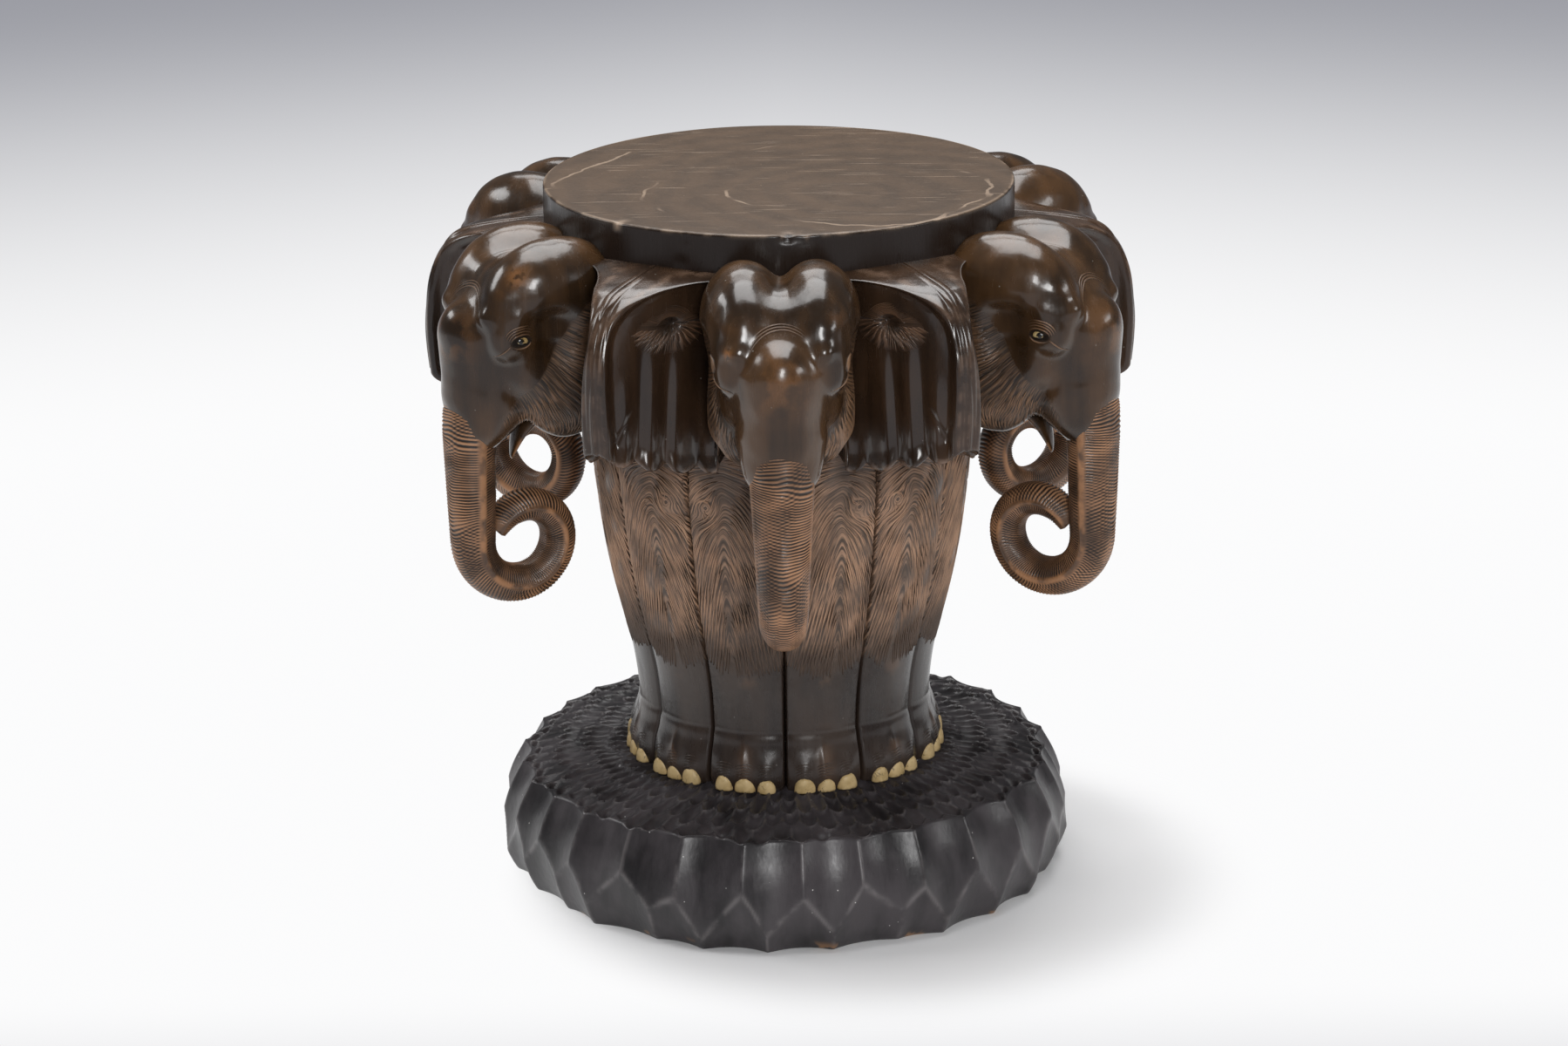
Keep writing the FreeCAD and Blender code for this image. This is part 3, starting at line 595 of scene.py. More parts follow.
@dataclass(frozen=True)
class TopWood(Finish):
    """Worn board: a dull face with growth rings, cracks and pale scratches, and a dark polished edge."""

    faded: Colour
    ring: Colour
    edge: Colour
    scratch: Colour
    heart: Point = (-0.06, 0.05, 0.0)

    def growth(self, nodes: Nodes, scale: float, waver: float, fine: float) -> Socket:
        """Draw growth rings round the log's heart.

        Args:
            nodes: The material's layout helper.
            scale: Scale of the rings.
            waver: How far they stray from circles.
            fine: Scale of their fine wavering.

        Returns:
            A wave across the rings.
        """
        moved = nodes.add("Mapping", {"Vector": nodes.place, "Location": self.heart})
        rings = nodes.add("TexWave", {"Vector": moved.outputs[0], "Scale": scale, "Distortion": waver,
                                      "Detail": 4.0, "Detail Scale": fine},
                          wave_type="RINGS", rings_direction="Z")
        return rings.outputs["Fac"]

    def cracks(self, nodes: Nodes) -> Socket:
        """Draw pale arcs along some growth rings: thin lines of a wave, let through in a few places.

        Args:
            nodes: The material's layout helper.

        Returns:
            A mask of the arcs.
        """
        line = nodes.span(self.growth(nodes, 5.2, 3.2, 2.2), 0.992, 0.999)
        return nodes.math("MULTIPLY", line, nodes.span(nodes.noise(13.0, 2.0), 0.53, 0.6))

    def make(self, grain: Tree, specks: Tree) -> Material:
        """Build the material.

        Args:
            grain: The group of wood grain.
            specks: The group of scratches.

        Returns:
            The material.
        """
        material, nodes = self.start()
        figure = nodes.group(grain, blotch=9.0)
        marks = nodes.group(specks, amount=1.0)
        rings = self.growth(nodes, 11.0, 6.0, 1.6)
        flat, worn = nodes.painted("flat"), nodes.painted("wear")
        fine = nodes.span(nodes.noise(330.0, 4.0), 0.3, 0.7)
        share = nodes.math("MULTIPLY_ADD", nodes.span(rings, 0.1, 0.9), 0.3,
                           nodes.math("MULTIPLY", fine, 0.3))
        share = nodes.math("MULTIPLY_ADD", figure.outputs["Tone"], 0.4, share)
        board = nodes.mix(share, self.ring, self.faded)
        colour = nodes.mix(flat, self.edge, board)
        pale = nodes.math("MAXIMUM", nodes.math("MULTIPLY", marks.outputs["Scratches"], 0.6),
                          nodes.math("MULTIPLY", marks.outputs["Specks"], 0.6))
        pale = nodes.math("MAXIMUM", pale, nodes.math("MULTIPLY", self.cracks(nodes), 0.6))
        rubbed = nodes.math("CLAMPED_MULTIPLY", worn, nodes.span(nodes.noise(46.0, 5.0), 0.40, 0.56))
        bare = nodes.math("CLAMPED_ADD", nodes.math("MULTIPLY", pale, flat), rubbed)
        colour = nodes.mix(bare, colour, self.scratch)
        sheen = nodes.span(figure.outputs["Height"], 0.3, 0.7, 0.24, 0.34)
        rough = nodes.math("MULTIPLY_ADD", flat, 0.2, sheen)
        relief = nodes.math("SUBTRACT", figure.outputs["Height"], nodes.math("MULTIPLY", pale, 1.2))
        self.finish(nodes, colour, rough, relief, FINE_RELIEF, coat_weight=0.08, coat_roughness=0.2,
                    specular_ior_level=0.3)
        return material


@dataclass(frozen=True)
class PlinthWood(Finish):
    """Black stained wood with grey worn ridges, dust and brown chips along its lower edge."""

    black: Colour
    grey: Colour
    ridge: Colour
    chip: Colour
    dust: Colour = (0.62, 0.60, 0.58)

    def make(self, grain: Tree, specks: Tree) -> Material:
        """Build the material.

        Args:
            grain: The group of wood grain.
            specks: The group of dust specks.

        Returns:
            The material.
        """
        material, nodes = self.start()
        figure = nodes.group(grain, blotch=15.0)
        marks = nodes.group(specks, amount=1.0)
        colour = nodes.mix(figure.outputs["Tone"], self.black, self.grey)
        patch = nodes.span(nodes.noise(70.0, 4.0), 0.36, 0.62)
        rubbed = nodes.math("CLAMPED_MULTIPLY", nodes.painted("wear"), patch)
        colour = nodes.mix(nodes.math("MULTIPLY", rubbed, 0.75), colour, self.ridge)
        knocks = nodes.span(nodes.noise(38.0, 4.0), 0.6, 0.66)
        chips = nodes.math("CLAMPED_MULTIPLY", nodes.painted("low"), knocks)
        colour = nodes.mix(chips, colour, self.chip)
        colour = nodes.mix(marks.outputs["Specks"], colour, self.dust)
        rough = nodes.span(figure.outputs["Height"], 0.3, 0.7, 0.3, 0.42)
        grain_height = nodes.math("MULTIPLY", figure.outputs["Height"], 0.5)
        relief = nodes.math("ADD", grain_height, nodes.noise(90.0, 3.0))
        self.finish(nodes, colour, rough, relief, 0.0003, coat_weight=0.08, coat_roughness=0.3)
        return material


@dataclass(frozen=True)
class Inlay(Finish):
    """Cream inlay, darker in its cracks and towards its rim, with an optional dark pupil."""

    cream: Colour
    amber: Colour
    dirt: Colour
    gloss: float
    pupil: Colour = (0.006, 0.005, 0.004)

    def make(self) -> Material:
        """Build the material.

        Returns:
            The material.
        """
        material, nodes = self.start()
        tone = nodes.span(nodes.noise(160.0, 4.0), 0.35, 0.65)
        colour = nodes.mix(tone, self.amber, self.cream)
        cracks = nodes.add("TexVoronoi", {"Vector": nodes.place, "Scale": 260.0, "Randomness": 1.0},
                           feature="DISTANCE_TO_EDGE")
        dirt = nodes.math("MULTIPLY", nodes.span(cracks.outputs["Distance"], 0.06, 0.02),
                          nodes.span(nodes.noise(210.0, 2.0), 0.58, 0.7))
        dirt = nodes.math("MAXIMUM", nodes.math("MULTIPLY", dirt, 0.8), nodes.painted("dirt"))
        colour = nodes.mix(dirt, colour, self.dirt)
        colour = nodes.mix(nodes.painted("pupil"), colour, self.pupil)
        relief = nodes.noise(300.0, 3.0)
        rough = nodes.span(tone, 0.0, 1.0, self.gloss, self.gloss + 0.12)
        self.finish(nodes, colour, rough, relief, FINE_RELIEF, coat_weight=0.1, coat_roughness=0.2)
        return material


@dataclass(frozen=True)
class PlainStock(Finish):
    """Hidden stock: plain wood with grain, or drawn steel with its fine lines."""

    light: Colour
    deep: Colour
    metallic: float
    gloss: float

    def make(self, grain: Tree) -> Material:
        """Build the material.

        Args:
            grain: The group of wood grain.

        Returns:
            The material.
        """
        material, nodes = self.start()
        figure = nodes.group(grain)
        colour = nodes.mix(figure.outputs["Tone"], self.deep, self.light)
        rough = nodes.span(figure.outputs["Height"], 0.3, 0.7, self.gloss, self.gloss + 0.15)
        self.finish(nodes, colour, rough, figure.outputs["Height"], FINE_RELIEF, metallic=self.metallic)
        return material


class FormKind(Enum):
    """Kinds of solid form that a head is modelled from."""

    BALL = "ellipsoid by its half axes"
    LIMB = "round limb between two points, with a radius at each"
    BLOCK = "block with rounded edges"


@dataclass(frozen=True)
class Form:
    """One form of a head, blended into the forms before it or scooped out of them over a given width."""

    kind: FormKind
    middle: Point
    size: Point
    blend: float
    paired: bool = False
    far: Point = (0.0, 0.0, 0.0)
    hollow: bool = False
    rounding: float = 13.0

    def distance(self, points: Array, sign: int) -> Array:
        """Give the distance from the form's surface on one side of the elephant.

        An ellipsoid's is k(k - 1)/m, with k the length of the place over the half axes and m that over
        their squares; a limb's is the distance from its axis less the radius there; a block's is that
        from a smaller box less its rounding.

        Args:
            points: Places in the elephant's own frame.
            sign: 1 for the form as it is given, -1 for its mirror image.

        Returns:
            The distances, negative inside.
        """
        middle = np.array(self.middle) * (1, sign, 1)
        size = np.array(self.size)
        offset = points - middle
        if self.kind is FormKind.LIMB:
            axis = np.array(self.far) * (1, sign, 1) - middle
            share = np.clip(offset @ axis / (axis @ axis), 0, 1)
            radius = size[0] + share * (size[1] - size[0])
            return np.linalg.norm(offset - share[..., None] * axis, axis=-1) - radius
        if self.kind is FormKind.BLOCK:
            beyond = np.abs(offset) - (size - self.rounding)
            outside = np.linalg.norm(np.maximum(beyond, 0), axis=-1)
            return outside + np.minimum(beyond.max(-1), 0) - self.rounding
        near = np.linalg.norm(offset / size, axis=-1)
        return near * (near - 1) / (np.linalg.norm(offset / size ** 2, axis=-1) + TINY)


def blended(first: Array, second: Array, width: float) -> Array:
    """Take the lesser of two distances, rounded off where they are within a width of each other."""
    share = np.clip(0.5 + 0.5 * (second - first) / width, 0, 1)
    return second + (first - second) * share - width * share * (1 - share)


@dataclass
class Head:
    """Skull lobes, face, snout, cheeks and lower lip of an elephant, with the carved fur of its cheeks.

    Lines that look for the surface start at outside, beside or ahead; those from the side draw together
    to core. The arcs on the brow lie round the height boss. An eye bead has the half sizes bead and faces
    gaze. A fold of a lid has its half width and height, first and last angle, and girth. A knock has the
    number of its elephant, its place and its size.
    """

    middle: Point = (198.0, 0.0, 416.0)
    columns: int = 170
    rows: int = 122
    seat_radius: float = 156.0
    seat_height: float = 469.0
    outside: float = 130.0
    beside: float = 70.0
    ahead: float = 300.0
    core: Point = (197.0, 0.0, 392.0)
    boss: float = 433.0
    eye: Point = (225.0, 43.2, 425.0)
    bead: Point = (3.6, 5.6, 3.7)
    gaze: Point = (0.3, 0.95, 0.06)
    strokes: int = 440
    hair: Stroke = Stroke(24, 1.8, 0.8, 8, 0.4)
    lid_folds: tuple[tuple[float, ...], ...] = (
        (7.6, 4.4, -4, 188, 2.2), (9.4, 6.5, 0, 176, 1.7), (11.0, 8.4, 6, 166, 1.5),
        (12.6, 10.3, 14, 150, 1.3), (7.4, 4.2, 184, 356, 2.0))
    knocks: tuple[tuple[int, Point, float], ...] = (
        (1, (250, -19, 462), 6.0), (1, (243, -33, 441), 3.0), (6, (222, 36, 466), 6.0),
        (6, (219, 40, 459), 3.5), (3, (232, 20, 470), 5.0), (4, (214, -38, 462), 4.0))
    hairline: Knots = (
        (340, 236), (362, 234), (376, 226), (394, 211), (408, 202), (424, 193), (446, 180))
    falling: Knots = (
        (325, 82), (350, 75), (368, 66), (384, 52), (400, 34), (420, 14), (452, 6))
    forms: tuple[Form, ...] = (
        Form(FormKind.BLOCK, (150, 0, 416), (40, 47, 54), 1),
        Form(FormKind.BALL, (190, 24, 451), (50, 29, 37), 9, True),
        Form(FormKind.LIMB, (216, 0, 450), (21, 31, 0), 14, far=(226, 0, 420)),
        Form(FormKind.LIMB, (226, 0, 420), (31, 28.5, 0), 14, far=(230.5, 0, 378)),
        Form(FormKind.LIMB, (230.5, 0, 378), (28.5, 15, 0), 8, far=(246, 0, 343)),
        Form(FormKind.BALL, (183, 24.5, 386), (34, 21, 38), 9, True),
        Form(FormKind.BALL, (221, 31, 426), (15, 12, 16), 9, True),
        Form(FormKind.BALL, (229, 27, 450), (11, 10, 10), 10, True),
        Form(FormKind.BALL, (209, 30, 402), (20, 9, 16), 10, True),
        Form(FormKind.BALL, (242, 0, 428), (20, 20, 20), 3),
        Form(FormKind.LIMB, (245, 0, 420), (15, 11, 0), 12, far=(248, 0, 384)),
        Form(FormKind.BALL, (238, 16, 362), (12, 9, 14), 7, True),
        Form(FormKind.LIMB, (226, 40, 440), (4, 5, 0), 10, True, far=(242, 29, 440)),
        Form(FormKind.BALL, (233, 35, 425), (9, 7, 11), 10, True),
        Form(FormKind.BALL, (204, 51, 433), (17, 9, 11), 10, True, hollow=True),
        Form(FormKind.BALL, (225, 47.2, 425), (8.0, 4.4, 4.0), 2.0, True, hollow=True),
    )

    def distance(self, points: Array) -> Array:
        """Give the distance from the head's surface: its forms, blended one after another.

        Args:
            points: Places in the elephant's own frame.

        Returns:
            The distances, negative inside.
        """
        far_off = 1e3
        total = np.full(points.shape[:-1], far_off)
        for form in self.forms:
            for sign in (1, -1) if form.paired else (1,):
                here = form.distance(points, sign)
                if form.hollow:
                    total = -blended(-total, here, form.blend)
                else:
                    total = blended(total, here, form.blend)
        return total

    def reach(self, start: Array, way: Array, steps: int = 70) -> Array:
        """Walk from outside along straight lines until they meet the surface, by its distance each step.

        Args:
            start: Where each line starts.
            way: Unit direction of each line.
            steps: Number of steps.

        Returns:
            The places where the lines meet the surface.
        """
        caution, longest = 0.85, 160.0
        gone = np.zeros(start.shape[:-1])
        for _ in range(steps):
            gone = gone + caution * self.distance(start + gone[..., None] * way)
        return start + np.clip(gone, 0, longest)[..., None] * way

    def normal(self, points: Array) -> Array:
        """Give the unit direction outwards at places on the surface, from differences of the distance."""
        slope = [self.distance(points + step) - self.distance(points - step)
                 for step in HALF_STEP * np.eye(3)]
        return unit(np.stack(slope, -1), TINY)

    def met(self, start: Array, way: Array, height: Array) -> Array:
        """Give the places where lines meet the surface, lifted off it by a height."""
        place = self.reach(start, way)
        return place + height[..., None] * self.normal(place)

    def flank(self, side: Side, spread: float = 0.45) -> Surface:
        """Give the surface of one side of the head as a function of (r, z) and a height above it.

        The lines to it start beside the head and draw together towards its middle, so that all meet it.

        Args:
            side: Side of the head.
            spread: What is left of their spread at the middle; lines with 1 run straight across.

        Returns:
            The function.
        """
        core = np.array(self.core)

        def surface(points: Array, height: Array) -> Array:
            """Meet the head from beside it."""
            start = np.insert(points, 1, side.value * self.beside, axis=-1)
            return self.met(start, unit(core + spread * (start - core) * (1, 0, 1) - start), height)
        return surface

    def front(self) -> Surface:
        """Give the surface of the face as a function of (t, z) and a height above it.

        Returns:
            The function.
        """
        def surface(points: Array, height: Array) -> Array:
            """Meet the head from straight ahead."""
            start = np.insert(points, 0, self.ahead, axis=-1)
            return self.met(start, np.broadcast_to([-1.0, 0.0, 0.0], start.shape), height)
        return surface

    def skull(self) -> Shell:
        """Model the head itself: for each direction from its middle, the place where the surface lies.

        The columns go round the upright axis and lie closer on the face; the rows rise from the chin to
        the crown. Small facets of the carver's knife are left as a slight ripple.

        Returns:
            The skull, painted with its wear, fur, tones and flow, and with painted shade in its eye sockets.
        """
        turn = np.linspace(-1, 1, self.columns, endpoint=False)
        turn = math.pi * (0.62 * turn + 0.38 * turn ** 5)
        rise = np.linspace(-0.495, 0.495, self.rows)[:, None] * math.pi
        level = np.cos(rise)
        way = np.stack([level * np.cos(turn), level * np.sin(turn), np.sin(rise) + 0 * turn], -1)
        start = np.array(self.middle) + self.outside * way
        points = self.reach(start, -way)
        points = points + 0.2 * ripple(points, 16, 3)[..., None] * self.normal(points)
        ring = np.hypot(points[..., 0], points[..., 1])
        under = smooth(162, self.seat_radius, ring)
        points[..., 2] -= under * np.maximum(points[..., 2] - self.seat_height, 0)
        r, t, z = np.moveaxis(points, -1, 0)
        lobes = smooth(448, 470, z) * smooth(205, 235, r)
        bump = bell(np.hypot(t / 1.2, z - 424), 17) * smooth(235, 250, r)
        wear = 0.35 * lobes * smooth(0.2, 0.9, ripple(points, 40, 8)) + 0.4 * bump
        fur = self.furred(r, np.abs(t), z)
        tone = 0.5 + 0.3 * ripple(points, 24, 5)
        # Painted shade: the recess round each eye is painted as fur without crests, so that it takes the dark
        # groove colour.
        eye_r, _, eye_z = self.eye
        oval = np.hypot((r - eye_r) / 8.0, (z - eye_z) / 4.0)
        socket = smooth(1.15, 0.9, oval) * (np.abs(t) > 34)
        return tube(points, wear=np.clip(wear, 0, 1) * (1 - fur), fur=np.maximum(0.95 * fur, socket),
                    tone=tone, ridge=0.38 * (1 - socket), flow=FLOW_BASE + self.flow(np.stack([r, z], -1)))

    def furred(self, r: Array, t: Array, z: Array) -> Array:
        """Give 1 where the cheek carries fur: behind and below a line from the temple to the mouth."""
        return smooth(1.5, -1.5, r - through(self.hairline, z)) * smooth(24, 28, t) * smooth(450, 444, z)

    def flow(self, points: Array) -> Array:
        """Give a stream value on a cheek, whose level lines are the run of the hairs.

        It is (r - 200) sin a less the sum of cos a up the height, with a the fall at that height, and a
        wave that bends the hairs as they go back.

        Args:
            points: Points (r, z).

        Returns:
            The values, in millimetres across the hairs.
        """
        r, z = points[..., 0], points[..., 1]
        levels = np.arange(325.0, 453.0)
        level = np.cos(np.radians(through(self.falling, levels)))
        fall = np.radians(through(self.falling, z))
        bend = 2.0 * np.sin((r + 0.5 * z) / 8)
        return (r - 200) * np.sin(fall) - np.interp(z, levels, np.cumsum(level)) + bend

    def fur(self, side: Side) -> Shell:
        """Lay the strokes of one cheek: back from the face, then ever more downwards towards the jaw.

        Args:
            side: Side of the head.

        Returns:
            The strokes.
        """
        spots = scatter(self.strokes, 0.2 + 0.1 * side.value)
        z = 348 + 98 * spots[:, 0]
        line = through(self.hairline, z)
        seeds = np.stack([line - 2 - (line - 160) * spots[:, 1], z], -1)
        heading = partial(level_way, self.flow)
        return self.hair.lay(seeds, heading, self.flank(side), 0.6 + 0.6 * spots[:, 0], 5)

    def lids(self, side: Side) -> Shell:
        """Lay the folds round one eye: nested arcs above it, one below, and a short line before it.

        Args:
            side: Side of the head.

        Returns:
            The folds.
        """
        r, _, z = self.eye
        parts = []
        for wide, high, first, last, girth in self.lid_folds:
            def heading(points: Array, wide: float = wide, high: float = high) -> Array:
                """Follow an oval round the eye."""
                offset = (points - (r, z)) / (wide, high)
                return unit(np.stack([-offset[:, 1] * wide, offset[:, 0] * high], -1))
            angle = math.radians(first)
            seed = np.array([[r + wide * math.cos(angle), z + high * math.sin(angle)]])
            length = math.radians(last - first) * (wide + high) / 2
            parts.append(Stroke(length, girth, 1.1, 22, 0.4).lay(seed, heading, self.flank(side, 1.0)))

        def dropping(points: Array) -> Array:
            """Run forward and down."""
            return np.tile([0.72, -0.69], (len(points), 1))
        before = np.array([[r + 7.0, z - 1.5]])
        parts.append(Stroke(15, 2.0, 0.8, 10, 0.3).lay(before, dropping, self.flank(side, 1.0)))
        shell = join(*parts)
        shell.paint["tone"] = np.full(len(shell.points), 0.9)
        return shell

    def brow_lines(self) -> Shell:
        """Lay the fine arcs round the trunk's root where it leaves the forehead.

        Returns:
            The arcs.
        """
        def heading(points: Array) -> Array:
            """Follow a circle round the boss."""
            return unit(np.stack([points[:, 1] - self.boss, -points[:, 0]], -1))
        parts = []
        for step in range(3):
            radius, start = 21.5 + 2.0 * step, 0.1 + 0.3 * step
            seed = np.array([[-radius * math.cos(start), self.boss + radius * math.sin(start)]])
            length = radius * (math.pi - 2 * start)
            parts.append(Stroke(length, 1.2, 0.5, 36, 0.3).lay(seed, heading, self.front()))
        shell = join(*parts)
        shell.paint["fur"] = shell.paint["fur"] * 0.4
        shell.paint["tone"] = np.full(len(shell.points), 0.6)
        return shell

    @staticmethod
    def lip() -> Shell:
        """Model the pointed lower lip: a hollowed oval carried along a line that drops and runs forward.

        Returns:
            The lip.
        """
        share = np.linspace(0, 1, 30)[:, None]
        turn = circle(28)
        path_r = 193 + 30 * share - 9 * share ** 2
        path_z = 363 - 12 * share - 20 * share ** 2
        half = 13.5 * (1 - share ** 1.6) ** 0.75 + 0.9
        thick = 6.5 * (1 - share) ** 0.8 + 1.2
        scoop = 2.6 * np.sin(math.pi * np.clip(share * 1.15, 0, 1)) * np.cos(turn) ** 8
        up = thick * np.sin(turn) - np.maximum(np.sin(turn), 0) * scoop
        points = np.stack([path_r + 0.55 * up, half * np.cos(turn), path_z + 0.83 * up], -1)
        rim = bell(np.abs(np.cos(turn)) - 1, 0.12) + 0 * share
        return tube(points, wear=0.9 * rim * smooth(0.2, 0.6, share), tone=np.full(rim.shape, 0.4))

    def build(self) -> Shell:
        """Put the whole head together."""
        cheeks = [part for side in Side for part in (self.fur(side), self.lids(side))]
        return join(self.skull(), self.lip(), self.brow_lines(), *cheeks)

    def aged(self, shell: Shell, number: int) -> Shell:
        """Add the knocks of one head of the six: places where the stain is chipped off.

        Args:
            shell: The head.
            number: Which of the six elephants.

        Returns:
            The same head, painted with its chips.
        """
        chip = np.zeros(len(shell.points))
        for owner, place, size in self.knocks:
            if owner == number:
                chip = np.maximum(chip, bell(np.linalg.norm(shell.points - place, axis=-1), size) * 1.6)
        return Shell(shell.points, shell.quads, shell.triangles, shell.paint | {"chip": np.clip(chip, 0, 1)})

    def eyes(self) -> Shell:
        """Model the two eye beads: domes with a dark pupil inside a cream ring and a dark rim.

        Returns:
            Both beads.
        """
        rise = np.linspace(-0.49, 0.49, 26)[:, None] * math.pi
        turn = circle(36)
        axis = np.array(self.gaze)
        axis /= np.linalg.norm(axis)
        across = np.cross([0, 0, 1.0], axis)
        across /= np.linalg.norm(across)
        high = np.cross(axis, across)
        out, wide, tall = np.sin(rise) + 0 * turn, np.cos(rise) * np.cos(turn), np.cos(rise) * np.sin(turn)
        middle = np.array(self.eye) - (0.4, 2.6, 0.0)
        depth, half, height = self.bead
        points = (middle + depth * out[..., None] * axis + half * wide[..., None] * across
                  + height * tall[..., None] * high)
        from_axis = np.hypot(wide, tall)
        pupil = smooth(0.46, 0.4, np.hypot(wide, tall - 0.1)) * (out > 0) + smooth(-0.25, -0.4, tall)
        pupil = np.clip(np.maximum(pupil, smooth(0.86, 0.93, from_axis)), 0, 1)
        bead = tube(points, pupil=pupil, dirt=0.35 * smooth(0.3, 0.5, np.abs(from_axis - 0.5)))
        return join(bead, mirrored(bead))

    def dress(self, skin: Material, eye: Material) -> None:
        """Place the heads and the eyes of all elephants.

        Args:
            skin: Finish of the heads.
            eye: Finish of the eyes.
        """
        head = self.build()
        for number in NUMBERS:
            install(f"carved_head_{number}", turned(self.aged(head, number), number), skin, "polished_wood",
                    f"head_{number}")
        install_ring("bead_eyes", self.eyes(), eye, "eye_bone", "eyes")


@dataclass
class Trunk:
    """Trunk of an elephant: a stem that grows out of the snout and a closed curl, cut all over with rings."""

    line: float = 245.0
    root: float = 384.0
    stem_end: float = 276.0
    front_radius: float = 35.0
    back_radius: float = 30.0
    tip_radius: float = 25.0
    tip_turn: float = 154.0
    pitch: float = 2.0
    cut: float = 1.1
    rows: int = 630
    columns: int = 40
    wide: Knots = (
        (0, 3), (3, 10), (8, 15.8), (15, 19.6), (22, 20.3), (60, 19.0), (100, 17.0), (150, 14.8),
        (200, 14.0), (240, 13.4), (262, 12.4), (271, 11.0), (277, 9.0))
    deep: Knots = (
        (0, 13.6), (3, 15.2), (8, 16.2), (15, 17.2), (22, 17.5), (60, 16.9), (100, 15.6), (150, 13.6),
        (200, 12.3), (240, 11.6), (262, 10.8), (271, 9.6), (277, 7.5))
    front_sag: Knots = ((0, -7), (25, -3), (60, 3), (110, 7), (170, 5), (280, 3))
    back_sag: Knots = ((0, -2), (80, -4), (280, -4))

    def path(self, count: int) -> tuple[Array, Array, Array]:
        """Follow the centreline: a straight stem, then three arcs, each tangent to the last.

        Args:
            count: Number of even steps along it.

        Returns:
            The places (r, z), the unit directions along it, and the length from its root.
        """
        stem = self.root - self.stem_end
        arcs = ((self.front_radius, 90.0), (self.back_radius, 90.0), (self.tip_radius, self.tip_turn))
        lengths = [stem] + [radius * math.radians(turn) for radius, turn in arcs]
        along = np.linspace(0, sum(lengths), count)
        place = np.stack([np.full(count, self.line), self.root - np.minimum(along, stem)], -1)
        way = np.tile([0.0, -1.0], (count, 1))
        done, heading = stem, -90.0
        at = np.array([self.line, self.stem_end])
        for (radius, turn), length in zip(arcs, lengths[1:]):
            begin = math.radians(heading)
            middle = at + radius * np.array([math.sin(begin), -math.cos(begin)])
            here = (along > done)[:, None]
            angle = np.radians(heading) - (along - done) / radius
            place = np.where(here, middle + radius * np.stack([-np.sin(angle), np.cos(angle)], -1), place)
            way = np.where(here, np.stack([np.cos(angle), np.sin(angle)], -1), way)
            heading -= turn
            end = math.radians(heading)
            at = middle + radius * np.array([-math.sin(end), math.cos(end)])
            done += length
        return place, way, along

    def build(self) -> Shell:
        """Carry a lens-shaped profile along the curl and cut it with rings.

        Across the profile, the front and back swell as (1 - |u|^2.4)^0.62 of the half depth. The rings are
        a row of narrow valleys along the length, which sag and wander across it; a plain ridge runs down
        each side, and the end is rounded with a small finger.

        Returns:
            The trunk, painted with its crests and tones, and with painted shade on its back face.
        """
        place, way, along = self.path(self.rows)
        along = along[:, None]
        turn = circle(self.columns)
        u = np.sin(turn)
        face = np.sign(np.cos(turn))
        side = through(self.wide, along) * u
        deep = through(self.deep, along) * face * (1 - np.abs(u) ** 2.4 * 0.999) ** 0.62
        spot = np.stack([0 * along + 14 * u, along + 0 * u, 40 * face + 0 * along], -1)
        slant = 3.0 * u * bell(along - 55, 45)
        bow = np.where(face > 0, through(self.front_sag, along), through(self.back_sag, along))
        sag = bow * (1 - u ** 2) + slant
        wander = 2.2 * ripple(spot, 34, 4) + 0.8 * ripple(spot, 11, 14)
        phase = (along - sag + wander) / self.pitch + 0.5 * (face > 0)
        valley = 0.5 + 0.5 * np.cos(2 * math.pi * phase)
        end = smooth(268, 276, along)
        plain = smooth(0.955, 0.995, np.abs(u))
        cut = valley * (1 - plain) * (1 - end) * (0.75 + 0.25 * ripple(spot, 13, 24))
        grow = 1 - self.cut * cut / np.hypot(side, deep).clip(4)
        bead = 0.7 * smooth(0.955, 1, np.abs(u)) * (1 - end) * smooth(4, 20, along)
        deep, side = deep * grow, side * grow + np.sign(u) * bead
        finger = 2 * smooth(268, 277, along) * (face < 0)
        outer = np.stack([-way[:, 1:], way[:, :1]], -1)[:, 0]
        r = place[:, :1] + outer[:, :1] * deep + finger * way[:, :1]
        z = place[:, 1:] + outer[:, 1:] * deep + finger * way[:, 1:]
        # Painted shade: the back face, turned in towards the head and the inside of the curl, gets half the
        # tone and duller crests.
        front = 0.5 + 0.5 * smooth(-0.2, 0.5, deep / 12)
        tone = np.clip(0.55 + 0.6 * ripple(spot, 22, 6), 0, 1) * front
        return tube(np.stack([r, side, z], -1), fur=(1 - 0.7 * end) * (1 - 0.8 * plain), tone=tone,
                    ridge=np.clip(1 - 1.5 * cut, 0, 1) * (0.75 + 0.25 * front), wear=plain + 0 * along)

    def dress(self, rings: Material) -> None:
        """Place the trunks of all elephants in their finish."""
        install_ring("ringed_trunk", self.build(), rings, "grooved_wood", "trunk")


